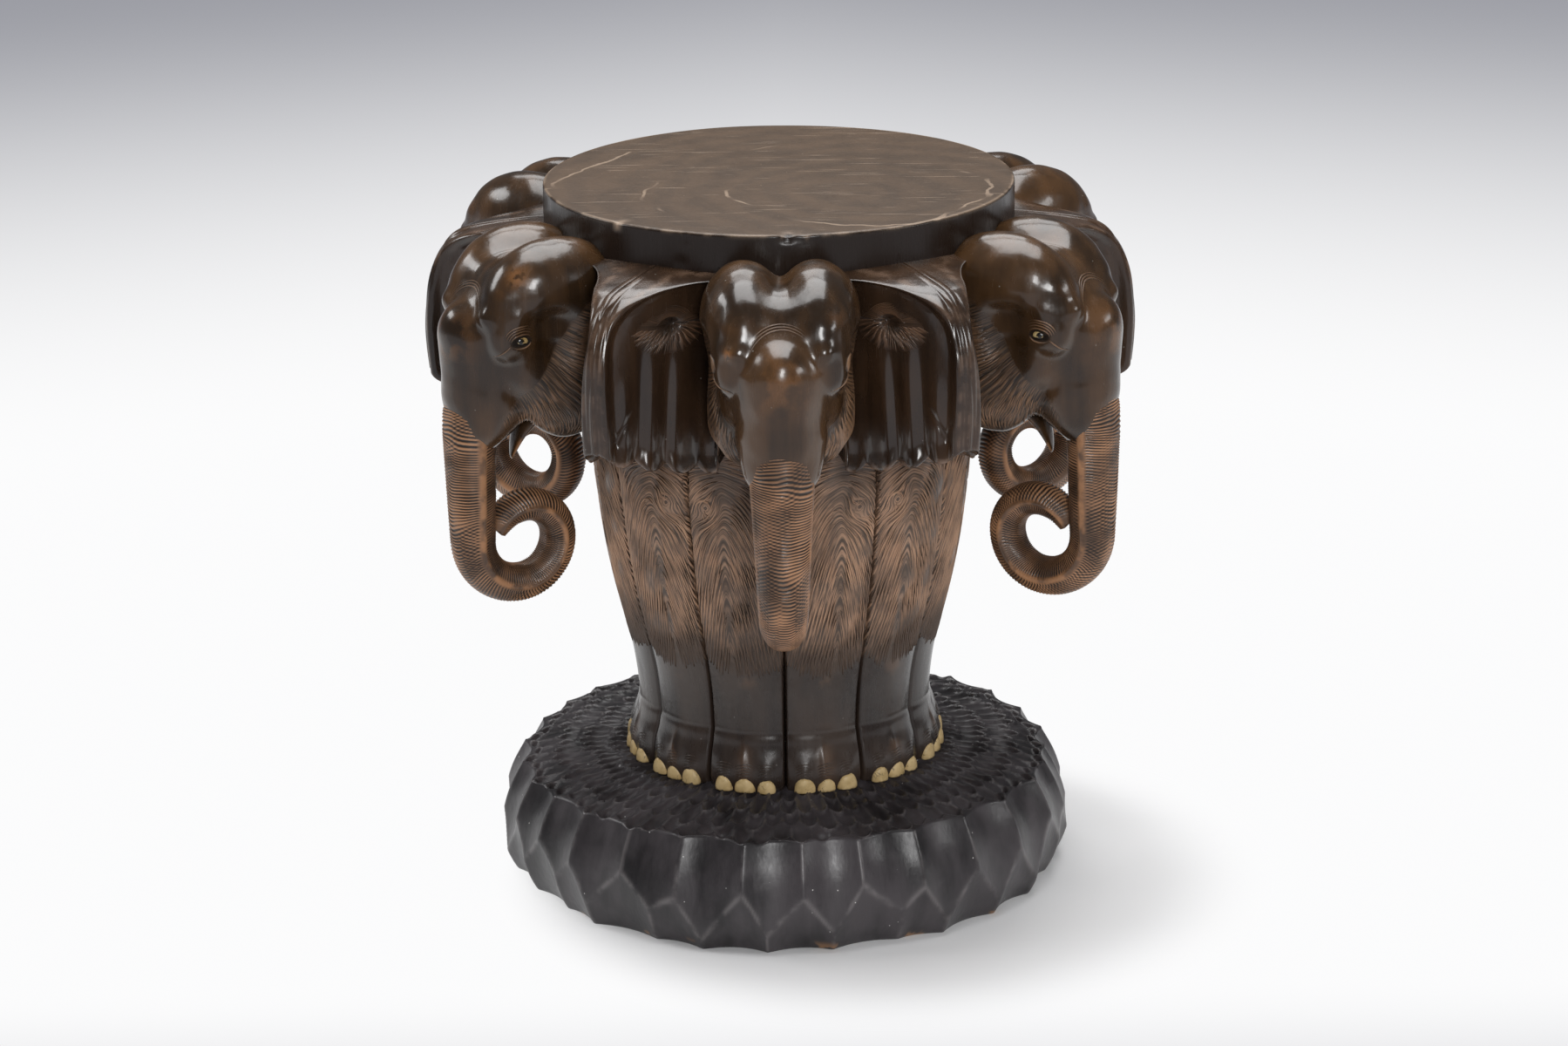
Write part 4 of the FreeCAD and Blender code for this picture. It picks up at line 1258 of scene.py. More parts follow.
@dataclass
class Ear:
    """Ear and shoulder on one side of an elephant, from the head to the corner shared with its neighbour.

    Above the height still the face keeps the corner's own heights; below it they are drawn out from end,
    where the corner's line ends, to the hem. The widest ring of that line sets where the ear begins.
    """

    inner: float = 44.0
    widest: float = 250.0
    still: float = 440.0
    end: float = 363.0
    arch_middle: float = 45.0
    arch_foot: float = 425.0
    arch_height: float = 45.4
    arch_power: float = 2.7
    arch_scale: float = 62.0
    back_rings: Knots = ((138.0, 358.0), (138.0, 372.0), (128.0, 462.0))
    hem_rings: Knots = ((0.8, -0.9), (2.2, -1.5), (5.0, -1.2), (12.0, 1.5))
    spread_hair: Stroke = Stroke(10, 1.25, 0.7, 6, 0.7)
    over_hair: Stroke = Stroke(24, 1.3, 0.8, 12, 0.7)
    columns: int = 80
    rows: int = 140
    rim: float = 113.6
    dish_root: float = 168.0
    dish_rim: float = 209.0
    opening: tuple[float, float] = (72.0, 444.0)
    profile: Knots = (
        (152, 475), (164, 474.5), (185, 472.5), (200, 470.5), (212, 468.5), (221, 466), (229, 461.5),
        (236, 454.5), (242, 443), (247, 428), (249.5, 412), (250.5, 395), (250, 380), (248.5, 363))

    def outline(self, count: int) -> tuple[Array, Array]:
        """Follow the corner's outer line from under the top down to the hem, in even steps.

        Args:
            count: Number of steps.

        Returns:
            The distances from the table's axis and the heights.
        """
        knots = np.array(self.profile)
        length = np.concatenate([[0], np.cumsum(np.hypot(*np.diff(knots, axis=0).T))])
        at = np.linspace(0, length[-1], count)
        return through(list(zip(length, knots[:, 0])), at), through(list(zip(length, knots[:, 1])), at)

    def flat(self, z: Array) -> Array:
        """Give the distance r of the flat between two corners at a height, before the dish is cut."""
        ring, height = np.array(self.profile[::-1]).T
        return np.interp(z, height, ring) * math.cos(SECTOR / 2)

    def inside(self, t: Array, z: Array) -> Array:
        """Give the distance from the ear's arched rim: a squared-off oval above its foot, upright below.

        Args:
            t: Places along the ring.
            z: Heights.

        Returns:
            The distances, negative inside.
        """
        power = self.arch_power
        wide = self.rim - self.arch_middle - 1.5 * smooth(415, 365, z)
        above = np.maximum(z - self.arch_foot, 0) / self.arch_height
        form = (np.abs(t - self.arch_middle) / wide) ** power + above ** power
        return (form ** (1 / power) - 1) * self.arch_scale

    def dish(self, t: Array, z: Array) -> Array:
        """Give the distance r of the ear's inner face: a slope from head to rim, sunk and hung with folds.

        The slope is kept under the flat by more and more inwards from the rim. Soft crests and valleys
        fade in below the opening, and the hem flares out where they end.

        Args:
            t: Places along the ring.
            z: Heights.

        Returns:
            The distances r.
        """
        slope = self.dish_root + (self.dish_rim - self.dish_root) * np.clip((t - 54) / 58, -0.3, 1.05)
        under = self.flat(z) - 3.2 - 0.5 * np.clip(-self.inside(t, z), 0, 18)
        bowl = blended(slope, under, 6.0)
        hang = smooth(458, 388, z)
        lean = (425 - z) * 0.05
        folds = (2.8 * bell(t - 66.5 - lean, 5.6) + 3.2 * bell(t - 83 - lean, 5.8)
                 + 2.8 * bell(t - 101 - 0.5 * lean, 5.0) * smooth(425, 385, z) - 2.2 * bell(t - 57, 5.0)
                 - 2.0 * bell(t - 75 - lean, 4.6) - 2.4 * bell(t - 92.5 - lean, 4.8))
        pit = 6.5 * bell(np.hypot(t - self.opening[0], (z - self.opening[1]) * 1.15), 5.0)
        flare = 3.0 * smooth(14, 0, z - self.hem(t)) * self.scallop(t)
        crease = 1.6 * bell((t - 104) * 0.8 - (380 - z) * 0.45, 1.5) * smooth(394, 384, z)
        return bowl + hang * folds - pit + flare - crease

    @staticmethod
    def scallop(t: Array) -> Array:
        """Give 1 at the low tip of each hanging fold of the hem and 0 in the notches between them."""
        return np.abs(np.sin((t - 57) / 20.5 * math.pi)) ** 0.7 * smooth(118, 108, t)

    def hem(self, t: Array) -> Array:
        """Give the height of the lower edge, which drops towards the head in scallops under the folds."""
        return 365.2 - 20 * np.clip((121 - t) / 62, 0, 1.15) - 5.5 * self.scallop(t)

    def front(self, t_share: Array, ring: Array, height: Array) -> tuple[Array, Array, Array]:
        """Work out the outer face: the corner's line carried flat to the head, with the dish sunk in it.

        Args:
            t_share: Share of the way from the middle of the elephant to the corner.
            ring: Distance of the corner's line from the axis.
            height: Height of the corner's line.

        Returns:
            r, t and z of the face.
        """
        t = t_share * ring / 2
        low = self.hem(t)
        drawn = low + (height - self.end) * (self.still - low) / (self.still - self.end)
        z = np.where(height > self.still, height, drawn)
        outer = ring * math.cos(SECTOR / 2)
        away = self.inside(t, z)
        bead = 1.9 * bell(away - 3.4, 3.0) - 1.0 * bell(away - 8.4, 1.3)
        sunk = smooth(1.4, -2.6, away)
        crown = 2.2 * smooth(452, 472, z) * bell(away - 12, 12)
        seam = 1.1 * bell(t_share - 0.948, 0.008) * smooth(360, 400, z)
        r = outer + bead * smooth(40, 52, t) + crown - seam
        r = r + sunk * (np.minimum(self.dish(t, z), outer - 1.2) - r)
        return r - 1.6 * smooth(0.988, 1.0, t_share), t, z

    def build(self) -> Shell:
        """Close the ear's outer face with a hem edge, an underside and a hidden back.

        Each column is a loop from under the top, over the shoulder and the rim, down the dish, round the
        hem and up the back. The first and last columns are closed against the head and the neighbour.

        Returns:
            The ear on the right side, with its tuft.
        """
        ring, height = self.outline(self.rows)
        first = 2 * self.inner / self.widest
        share = first + (1 - first) * np.linspace(0, 1, self.columns) ** 0.94
        grid_share, grid_ring = np.meshgrid(share, ring)
        r, t, z = self.front(grid_share, grid_ring, height[:, None])
        edge_r, edge_t, edge_z = r[-1], t[-1], z[-1]
        back = [np.stack([edge_r - inset, edge_t * (1 - inset / 260), edge_z + drop], -1)
                for inset, drop in self.hem_rings]
        back += [np.stack([np.full(edge_t.shape, radius), share * radius / math.sqrt(3),
                           np.full(edge_t.shape, level)], -1)
                 for radius, level in self.back_rings]
        loops = np.concatenate([np.stack([r, t, z], -1), np.stack(back)])
        away = self.inside(t, z)
        corner = bell(grid_share - 0.985, 0.008) + 0.8 * bell(grid_share - 0.962, 0.006)
        tips = 0.9 * bell(z - self.hem(t), 1.8) * self.scallop(t)
        wear = 0.35 * bell(away - 4.0, 1.2) + 0.3 * corner + tips
        rest = np.zeros((len(back), self.columns))
        rest[:3] = 0.9 * self.scallop(edge_t)
        wear = np.clip(np.concatenate([wear, rest]), 0, 1)
        hairy = smooth(1.2, 0.75, np.square((t - 74) / 22) + np.square((z - 439) / 13.5))
        turn = np.arctan2(z - self.opening[1], t - self.opening[0])
        bare = np.zeros(rest.shape)
        fur = np.concatenate([0.85 * hairy, bare])
        flow = np.concatenate([FLOW_BASE + 13 * turn, bare])
        body = tube(loops.transpose(1, 0, 2), wear=wear.T, tone=np.full(wear.T.shape, 0.5), fur=fur.T,
                    flow=flow.T, ridge=np.full(wear.T.shape, 0.4))
        return join(body, self.tuft())

    def tuft(self) -> Shell:
        """Lay the tuft of hair round the ear's opening: strokes that spread from it, and arcs over it.

        Returns:
            The tuft.
        """
        middle = np.array(self.opening)

        def surface(points: Array, height: Array) -> Array:
            """Lie on the dish at points (t, z)."""
            t, z = points[..., 0], points[..., 1]
            return np.stack([self.dish(t, z) + height, t, z], -1)

        def spreading(points: Array) -> Array:
            """Run away from the opening and somewhat down."""
            return unit(unit(points - middle) + (0.0, -0.35))

        def arching(points: Array) -> Array:
            """Circle a place just under the opening."""
            offset = points - middle + (0.0, 4.0)
            return unit(np.stack([offset[:, 1], -offset[:, 0]], -1))
        spots = scatter(90, 0.3)
        turn = np.radians(-185 + 190 * spots[:, 0])
        away = (6 + 8 * spots[:, 1])[:, None] * (1.25, 0.8)
        spread = middle + away * np.stack([np.cos(turn), np.sin(turn)], -1)
        step = np.arange(9)
        over = middle + np.stack([-7.5 - 0.8 * step, 0.5 + 0.4 * step], -1)
        return join(self.spread_hair.lay(spread, spreading, surface, 0.75 + 0.4 * spots[:, 1], 3),
                    self.over_hair.lay(over, arching, surface, None, 5))

    def dress(self, flap: Material) -> None:
        """Place both ears of all elephants.

        Args:
            flap: Finish of the ears.
        """
        shell = self.build()
        install_ring("dished_ear_left", mirrored(shell), flap, "polished_wood", "ear_left")
        install_ring("dished_ear_right", shell, flap, "polished_wood", "ear_right")


@dataclass
class Leg:
    """Front leg on one side of an elephant: a furred thigh, a smooth shin and a foot with three toes.

    A leg fills the share fill of its sector. Arcs on the foot are measured at the radius foot. The nails
    lie round nail_ring and rise from nail_foot, and nothing of them is below ground.
    """

    columns: int = 58
    rows: int = 114
    bottom: float = 84.3
    shin: float = 130.0
    top: float = 368.0
    heart: float = 54.0
    foot: float = 112.0
    nail_ring: float = 110.4
    nail_foot: float = 84.1
    ground: float = 84.05
    fill: float = 0.999
    half: float = math.pi / 12
    fur_end: float = 181.0
    toes: float = math.radians(8.0)
    parting: float = 7.0
    whorl: tuple[float, float] = (19.5, 298.0)
    strokes: int = 650
    hair: Stroke = Stroke(29, 1.7, 0.75, 7, 0.4)
    profile: Knots = (
        (84, 110.5), (88, 112), (98, 112.2), (106, 110.2), (115, 107.4), (121, 106.2), (125, 105.1),
        (129, 105.2), (140, 106.0), (159, 108.5), (181, 113.5), (214, 121.5), (243, 127), (277, 131.5),
        (300, 134), (330, 135), (370, 134))
    leaning: Knots = (
        (165, 4), (200, 8), (235, 13), (265, 20), (288, 32), (306, 54), (322, 74), (342, 85), (375, 88))

    def radius(self, turn: Array, z: Array) -> Array:
        """Give the distance from the table's axis: the leg's outline less a round fall to each groove.

        The fall is a cube of the share of the way to the groove, with a steep last part. The foot swells
        over each toe and carries a ridge down its instep.

        Args:
            turn: Angles from the leg's middle.
            z: Heights.

        Returns:
            The distances.
        """
        x = np.abs(turn) / self.half
        fall = 3.6 * x ** 3 + 4.2 * smooth(0.94, 1.0, x)
        foot = smooth(110, 97, z)
        toe = sum(bell(turn - n * self.toes, 0.052) for n in (-1, 0, 1))
        instep = 1.3 * bell(turn + 0.015, 0.024) * bell(z - 107, 9)
        knee = 0.9 * bell(turn + 0.02, 0.08) * bell(z - 150, 26)
        return through(self.profile, z) - fall + foot * (1.5 * toe - 0.9) + instep + knee

    def place(self, turn: Array, z: Array, lift: Array | float = 0.0) -> Array:
        """Give the places for turns about the table's axis, heights and lifts off the surface."""
        radius = self.radius(turn, z) + lift
        return around(radius, turn, z + 0 * turn)

    def flow(self, points: Array, side: Side) -> Array:
        """Give a stream value whose level lines are the run of the hairs.

        It is |q - parting| cos a plus the sum of sin a up the height, with q the arc towards the elephant's
        outer groove and a the lean at that height; round the whorl it turns into the distance from it.

        Args:
            points: Points (arc from the leg's middle, z).
            side: Side of the elephant.

        Returns:
            The values, in millimetres across the hairs.
        """
        levels = np.arange(165.0, 376.0)
        slant = np.sin(np.radians(through(self.leaning, levels)))

        def falling(q: Array, z: Array) -> Array:
            """Give the stream of hairs that fall away from the parting."""
            lean = np.cos(np.radians(through(self.leaning, z)))
            return np.sqrt((q - self.parting) ** 2 + 2) * lean + np.interp(z, levels, np.cumsum(slant))
        q, z = points[..., 0] * side.value, points[..., 1]
        away = np.hypot(q - self.whorl[0], z - self.whorl[1])
        near = bell(away, 10)
        centre = falling(np.array(self.whorl[0]), np.array(self.whorl[1]))
        return falling(q, z) * (1 - near) + (centre + away) * near

    def hem(self, turn: Array) -> Array:
        """Give the height where the fur ends at a turn: lowest in the middle, by a square, and ragged."""
        rise = 11 * (1 - np.minimum(np.abs(turn) / self.half, 1) ** 2)
        return self.fur_end - rise + 3.5 * ripple(np.stack([turn * 110, 0 * turn], -1), 7, 9)

    def column(self, side: Side) -> Shell:
        """Model the leg itself: rows up its height, columns over its front and back along its heart.

        Args:
            side: Side of the elephant.

        Returns:
            The leg, painted with its fur, wear, tones and flow.
        """
        low = np.linspace(self.bottom, self.shin, 52, endpoint=False)
        z = np.concatenate([low, np.linspace(self.shin, self.top, self.rows - len(low))])[:, None]
        turn = np.linspace(-self.half, self.half, self.columns) * self.fill
        over = self.place(turn + 0 * z, z + 0 * turn)
        arc = np.stack([turn * through(self.profile, z), z + 0 * turn], -1)
        over[..., :2] *= (1 + 0.6 * ripple(arc, 22, 11) / 115 * smooth(175, 190, z))[..., None]
        back = np.linspace(self.half, -self.half, 4) * self.fill
        behind = around(self.heart + 0 * z, back, z + 0 * back)
        x = np.abs(turn) / self.half
        fur = smooth(-2, 6, z - self.hem(turn)) * (1 - 0.7 * smooth(0.93, 1.0, x))
        instep = 0.3 * bell(z - 104, 14) * bell(turn, 0.05)
        wear = 0.35 * bell(z - 190, 40) * smooth(0.2, 1, ripple(arc, 30, 21)) + instep
        gap = np.zeros(behind.shape[:2])
        paint = {"fur": fur, "wear": wear, "ridge": 0.42 + 0 * fur, "tone": 0.45 + 0.3 * ripple(arc, 26, 5),
                 "flow": FLOW_BASE + self.flow(arc, side)}
        return tube(np.concatenate([over, behind], 1),
                    **{name: np.concatenate([value, gap], 1) for name, value in paint.items()})

    def surface(self, points: Array, height: Array) -> Array:
        """Give places on the furred part, or above it, kept within the leg.

        Args:
            points: Points (arc from the leg's middle, z).
            height: Heights above the surface.

        Returns:
            The places.
        """
        edge = 0.985 * self.half
        turn = np.clip(points[..., 0] / through(self.profile, points[..., 1]), -edge, edge)
        return self.place(turn, np.clip(points[..., 1], self.hem(turn) - 2, self.top - 1), height)

    def fur(self, side: Side) -> Shell:
        """Lay the thigh's fur along the level lines of its flow, away from the parting and downwards.

        Args:
            side: Side of the elephant.

        Returns:
            The strokes.
        """
        spots = scatter(self.strokes, 0.31 + 0.17 * side.value)
        z = self.fur_end + 2 + (self.top - self.fur_end - 4) * spots[:, 1]
        seeds = np.stack([(2 * spots[:, 0] - 1) * self.half * 0.97 * through(self.profile, z), z], -1)

        def heading(points: Array) -> Array:
            """Follow the flow, to either side of the parting."""
            sign = np.where(points[:, 0] * side.value > self.parting, 1, -1) * side.value
            return level_way(partial(self.flow, side=side), points) * sign[:, None]
        shares = 0.6 + 0.6 * scatter(self.strokes, 0.7)[:, 0] * smooth(150, 260, z)
        return self.hair.lay(seeds, heading, self.surface, shares, 7)

    def wrinkles(self) -> Shell:
        """Lay the arcs of loose skin above each toenail.

        Returns:
            The arcs.
        """
        def surface(points: Array, height: Array) -> Array:
            """Lie on the foot at points (arc from its middle, z)."""
            return self.place(points[..., 0] / self.foot, points[..., 1], height)
        parts = []
        for toe in (-self.toes, 0.0, self.toes):
            for step in range(5):
                wide, top = 6.9 + 0.2 * step, 95.6 + 1.9 * step

                def heading(points: Array, toe: float = toe, wide: float = wide) -> Array:
                    """Rise to the toe's middle and fall behind it."""
                    slope = -(points[:, 0] - toe * self.foot) / wide * 0.62
                    return unit(np.stack([np.ones(len(points)), slope], -1))
                seed = np.array([[toe * self.foot - wide, top - 1.9]])
                parts.append(Stroke(2 * wide * 1.05, 1.3, 0.6, 10, 0.3).lay(seed, heading, surface))
        shell = join(*parts)
        shell.paint["fur"] = shell.paint["fur"] * 0.35
        shell.paint["tone"] = np.zeros(len(shell.points))
        return shell

    def build(self, side: Side) -> Shell:
        """Put one leg together, turned to its side of the elephant.

        Args:
            side: That side.

        Returns:
            The leg.
        """
        shell = join(self.column(side), self.fur(side), self.wrinkles())
        shell.paint["ridge"] = shell.paint["ridge"] * (0.3 + 0.7 * smooth(176, 224, shell.points[:, 2]))
        return spun(shell, side.value * self.half)

    def nails(self, side: Side) -> Shell:
        """Model the three toenails of a foot: half domes that stand on the plinth, their tops round.

        Args:
            side: Side of the elephant.

        Returns:
            The nails.
        """
        up = np.linspace(0, 1, 12)[:, None]
        turn = circle(30)
        parts = []
        for n, toe in enumerate((-self.toes, 0.0, self.toes)):
            wide = 7.2 + 0.6 * math.sin(3.1 * n + side.value)
            tall = 10.4 + 0.8 * math.cos(2.3 * n + side.value)
            fade = np.sqrt(np.maximum(1 - up ** 2.4, 0))
            along = wide * fade * np.cos(turn)
            depth = 4.8 * fade ** 0.5 * np.sin(turn)
            ragged = ripple(np.stack([turn + 9 * n + 0 * up, 3 * up + 0 * turn], -1), 1.4, 31)
            z = np.maximum(self.nail_foot + tall * up + 0.35 * ragged, self.ground)
            angle = toe + along / self.foot
            radius = self.nail_ring + depth + 0 * along
            points = around(radius, angle, z)
            dirt = smooth(0.14, 0.02, up) * smooth(-0.2, 0.8, ripple(points, 3.0, 17))
            parts.append(tube(points, dirt=0.8 * dirt, pupil=np.zeros(dirt.shape)))
        return spun(join(*parts), side.value * self.half)

    def dress(self, hide: Material, nail: Material) -> None:
        """Place the legs and the toenails of all elephants.

        Args:
            hide: Finish of the legs.
            nail: Finish of the toenails.
        """
        for side in Side:
            word = side.name.lower()
            install_ring(f"furred_leg_{word}", self.build(side), hide, "polished_wood", f"leg_{word}")
        nails = join(*(self.nails(side) for side in Side))
        install_ring("inlaid_nails", nails, nail, "nail_bone", "toenails")


@dataclass
class Plinth:
    """Round plinth: tiers of gouged petals over its sloping top, and tall scoops above facets on its side."""

    scoops: int = 29
    per_scoop: int = 28
    petals: int = 82
    flat_radius: float = 100.0
    flat_height: float = 86.2
    rim_radius: float = 194.5
    rim_height: float = 77.0
    top_rows: int = 60
    side_rows: int = 52
    tiers: tuple[float, ...] = (195.0, 170.0, 147.0, 126.0)
    outline: Knots = ((0, 196.0), (4, 197.6), (38, 201.6), (60, 200.0), (77, 195.0))
    gouge: float = 76.0

    @staticmethod
    def uneven(number: Array, seed: float) -> Array:
        """Give each numbered cut a fixed odd value of -0.5 to 0.5: the broken part of a large sine."""
        value = np.sin(number * 78.233 + seed * 12.9898) * 43758.5453
        return value - np.floor(value) - 0.5

    def top_cut(self, turn: Array, radius: Array) -> tuple[Array, Array]:
        """Cut the petals on top: tier by tier from the rim inwards, each over the ends of the one before.

        A petal ends outwards in a parabola. Behind that end its bowl falls steeply and then dies out
        inwards, as 1 - 0.75 x^2 across it, so that its sides rise to its neighbours.

        Args:
            turn: Angles about the axis.
            radius: Distances from the axis.

        Returns:
            The depth of the cut, and 1 on the worn edges of the petals.
        """
        depth = np.zeros(np.broadcast(turn, radius).shape)
        edge = np.zeros(depth.shape)
        for tier, end in enumerate(self.tiers):
            place = turn * self.petals / (2 * math.pi) + 0.5 * tier + 0.25 * np.sin(3 * turn + end)
            odd = self.uneven(np.floor(place) % self.petals, end)
            x = 2 * (place - np.floor(place)) - 1
            inward = end + 9 * odd - 8 * x ** 2 - radius
            own = smooth(-0.8, 0.8, inward)
            bowl = (3.8 + 1.8 * odd) * smooth(0, 7, inward) * smooth(42, 10, inward) * (1 - 0.75 * x ** 2)
            depth += own * (bowl - depth)
            edge += own * (np.maximum(bell(inward - 0.9, 1.2), 0.6 * bell(1 - np.abs(x), 0.13)) - edge)
        return depth, edge

    def side_cut(self, turn: Array, z: Array) -> tuple[Array, Array]:
        """Cut the side: scoops that run out downwards, and facets that run out upwards between them.

        Each cut deepens evenly along its run and loses the square of the distance from its middle line.
        The deepest counts, with the ridge between two slightly rounded.

        Args:
            turn: Angles about the axis.
            z: Heights.

        Returns:
            The depth of the cut, and 1 on the worn ridges.
        """
        pitch = 2 * math.pi / self.scoops
        place = turn / pitch + 0.1 * np.sin(2 * turn) + 0.08 * np.sin(5 * turn + 1)
        cuts = []
        for shift, slope, seed in ((0.0, 0.24, 0.0), (0.5, -0.2, 3.0)):
            nearest = np.floor(place + shift)
            for step in (-1, 0, 1):
                odd = self.uneven((nearest + step) % self.scoops, seed)
                x = (place + shift - nearest - step - 0.5 - 0.3 * odd) * pitch * self.rim_radius
                cuts.append(slope * (z - 32 - 18 * odd) - x ** 2 / (self.gouge * (1 + 0.5 * odd)))
        ranked = np.sort(np.stack(cuts), axis=0)
        gap = ranked[-1] - ranked[-2]
        return ranked[-1] + 0.2 * np.maximum(1 - gap / 0.8, 0) ** 2, 0.65 * bell(gap, 1.2)

    def build(self) -> Shell:
        """Carry the plinth's outline round its axis, with the cuts taken off square to it.

        Returns:
            The plinth, painted with its worn edges and its low chips.
        """
        turn = circle(self.scoops * self.per_scoop)
        top = np.linspace(self.flat_radius, self.rim_radius, self.top_rows)[:, None]
        fall = (top - self.flat_radius) / (self.rim_radius - self.flat_radius)
        top_z = self.flat_height - 8.2 * fall ** 1.5
        down = np.linspace(self.rim_height - 1.0, 1.2, self.side_rows)[:, None]
        cut, petal_edge = self.top_cut(turn, top + 0 * turn)
        side, ridge = self.side_cut(turn, down + 0 * turn)
        rim = side[:1] * smooth(170, self.rim_radius, top)
        cut = cut * smooth(self.flat_radius, 112, top) * smooth(self.rim_radius + 4, self.rim_radius - 4, top)
        foot_r = np.array([195.6, 192.0, 60.0])[:, None] - side[-1:] * np.array([1.0, 1.0, 0.0])[:, None]
        foot_z = np.array([0.2, 0.0, 0.0])[:, None] + 0 * turn
        inner_r = np.array([20.0, 94.0])[:, None] + 0 * turn
        inner_z = np.array([85.0, 85.5])[:, None] + 0 * turn
        radius = np.concatenate([inner_r, top - rim, through(self.outline, down) - side, foot_r])
        z = np.concatenate([inner_z, top_z - cut, down + 0 * turn, foot_z])
        points = around(radius, turn, z)
        worn = 0.7 * petal_edge * smooth(112, 140, top)
        wear = np.concatenate([np.zeros(inner_z.shape), worn, ridge, np.zeros(foot_z.shape)])
        low = smooth(8, 1, z) * smooth(150, 185, radius)
        return tube(points, wear=wear, low=low)

    def dress(self, stain: Material) -> None:
        """Place the plinth in its finish."""
        install("gouged_plinth", self.build(), stain, "plinth_wood", "base_plinth")


@dataclass
class Top:
    """Round top with a softened, chipped edge."""

    radius: float = 164.0
    upper: float = 500.0
    lower: float = 470.3
    columns: int = 260

    def build(self) -> Shell:
        """Carry the board's outline round its axis: a nearly flat face, a rounded edge and a plain side.

        Chips and cracks break the edge in front, and the face keeps a slight unevenness.

        Returns:
            The board, painted with its flat face and its worn edge.
        """
        turn = circle(self.columns)
        bend = np.linspace(0, math.pi / 2, 9)[1:-1]
        outline = ([(step, self.upper) for step in np.linspace(4, self.radius - 3.2, 44)]
                   + [(self.radius - 3 + 3 * math.sin(a), self.upper - 2.2 + 2.2 * math.cos(a)) for a in bend]
                   + [(self.radius, z) for z in np.linspace(self.upper - 2.4, self.lower, 26)]
                   + [(self.radius - 4, self.lower), (90.0, self.lower), (12.0, self.lower)])
        radius, z = (np.array(axis)[:, None] + 0 * turn for axis in zip(*outline))
        points = around(radius, turn, z)
        rim = smooth(150, self.radius, radius)
        radius = radius + 0.5 * rim * ripple(np.stack([60 * np.cos(turn), 60 * np.sin(turn)], -1), 50, 2)

        def off(degrees: float) -> Array:
            """Give the turn from a direction, of -pi to pi."""
            return (turn - math.radians(degrees) + math.pi) % (2 * math.pi) - math.pi
        chip = bell(off(-88), 0.022) * 2.4 + bell(off(-84), 0.012) * 1.4 + bell(off(-131), 0.012) * 1.6
        high = smooth(self.upper - 8, self.upper - 2, z)
        radius = radius - chip * rim * high
        crack = bell(off(-113) - 0.02 * (z - 485) / 15, 0.0062) + 0.8 * bell(off(-52), 0.005)
        radius = radius - 1.3 * crack * smooth(158, 164, radius)
        z = z - 0.9 * chip * rim * high - 0.25 * (ripple(points, 120, 12) + 1) * (z > self.upper - 0.5)
        flat = smooth(self.upper - 1.6, self.upper - 0.6, z)
        flat = flat * smooth(self.radius + 1, self.radius - 1, radius)
        wear = np.clip(0.55 * bell(radius - self.radius + 1.0, 1.0) * bell(z - self.upper + 1, 1.6)
                       + 0.9 * np.minimum(chip, 1) * rim * high, 0, 1)
        return tube(around(radius, turn, z), flat=flat, wear=wear)

    def dress(self, board: Material) -> None:
        """Place the top in its finish."""
        install("top_board", self.build(), board, "polished_wood", "top_disc")


def set_axes(thing: bpy.types.Object, side: Array, high: Array, away: Array, place: Point) -> None:
    """Put a camera or a lamp in its place in the scene.

    Args:
        thing: The camera or the lamp.
        side: Direction of its own x.
        high: Direction of its own y.
        away: Direction of its own z, which is behind it.
        place: Where it is.
    """
    matrix = Matrix.Identity(4)
    for row in range(3):
        matrix[row][:] = (side[row], high[row], away[row], place[row])
    thing.matrix_world = matrix
    bpy.context.scene.collection.objects.link(thing)


@dataclass(frozen=True)
class SoftBox:
    """One soft lamp: its place, the point it faces, its width and height, all in metres, and its watts."""

    name: str
    place: Point
    aim: Point
    size: tuple[float, float]
    power: float

    def hang(self) -> None:
        """Hang the lamp, with its width level."""
        data = bpy.data.lights.new(self.name, "AREA")
        data.shape = "RECTANGLE"
        data.size, data.size_y = self.size
        data.energy = self.power
        away = np.array(self.place) - np.array(self.aim)
        away /= np.linalg.norm(away)
        side = np.cross([0.0, 1.0, 0.01], away)
        side /= np.linalg.norm(side)
        set_axes(bpy.data.objects.new(self.name, data), side, np.cross(away, side), away, self.place)


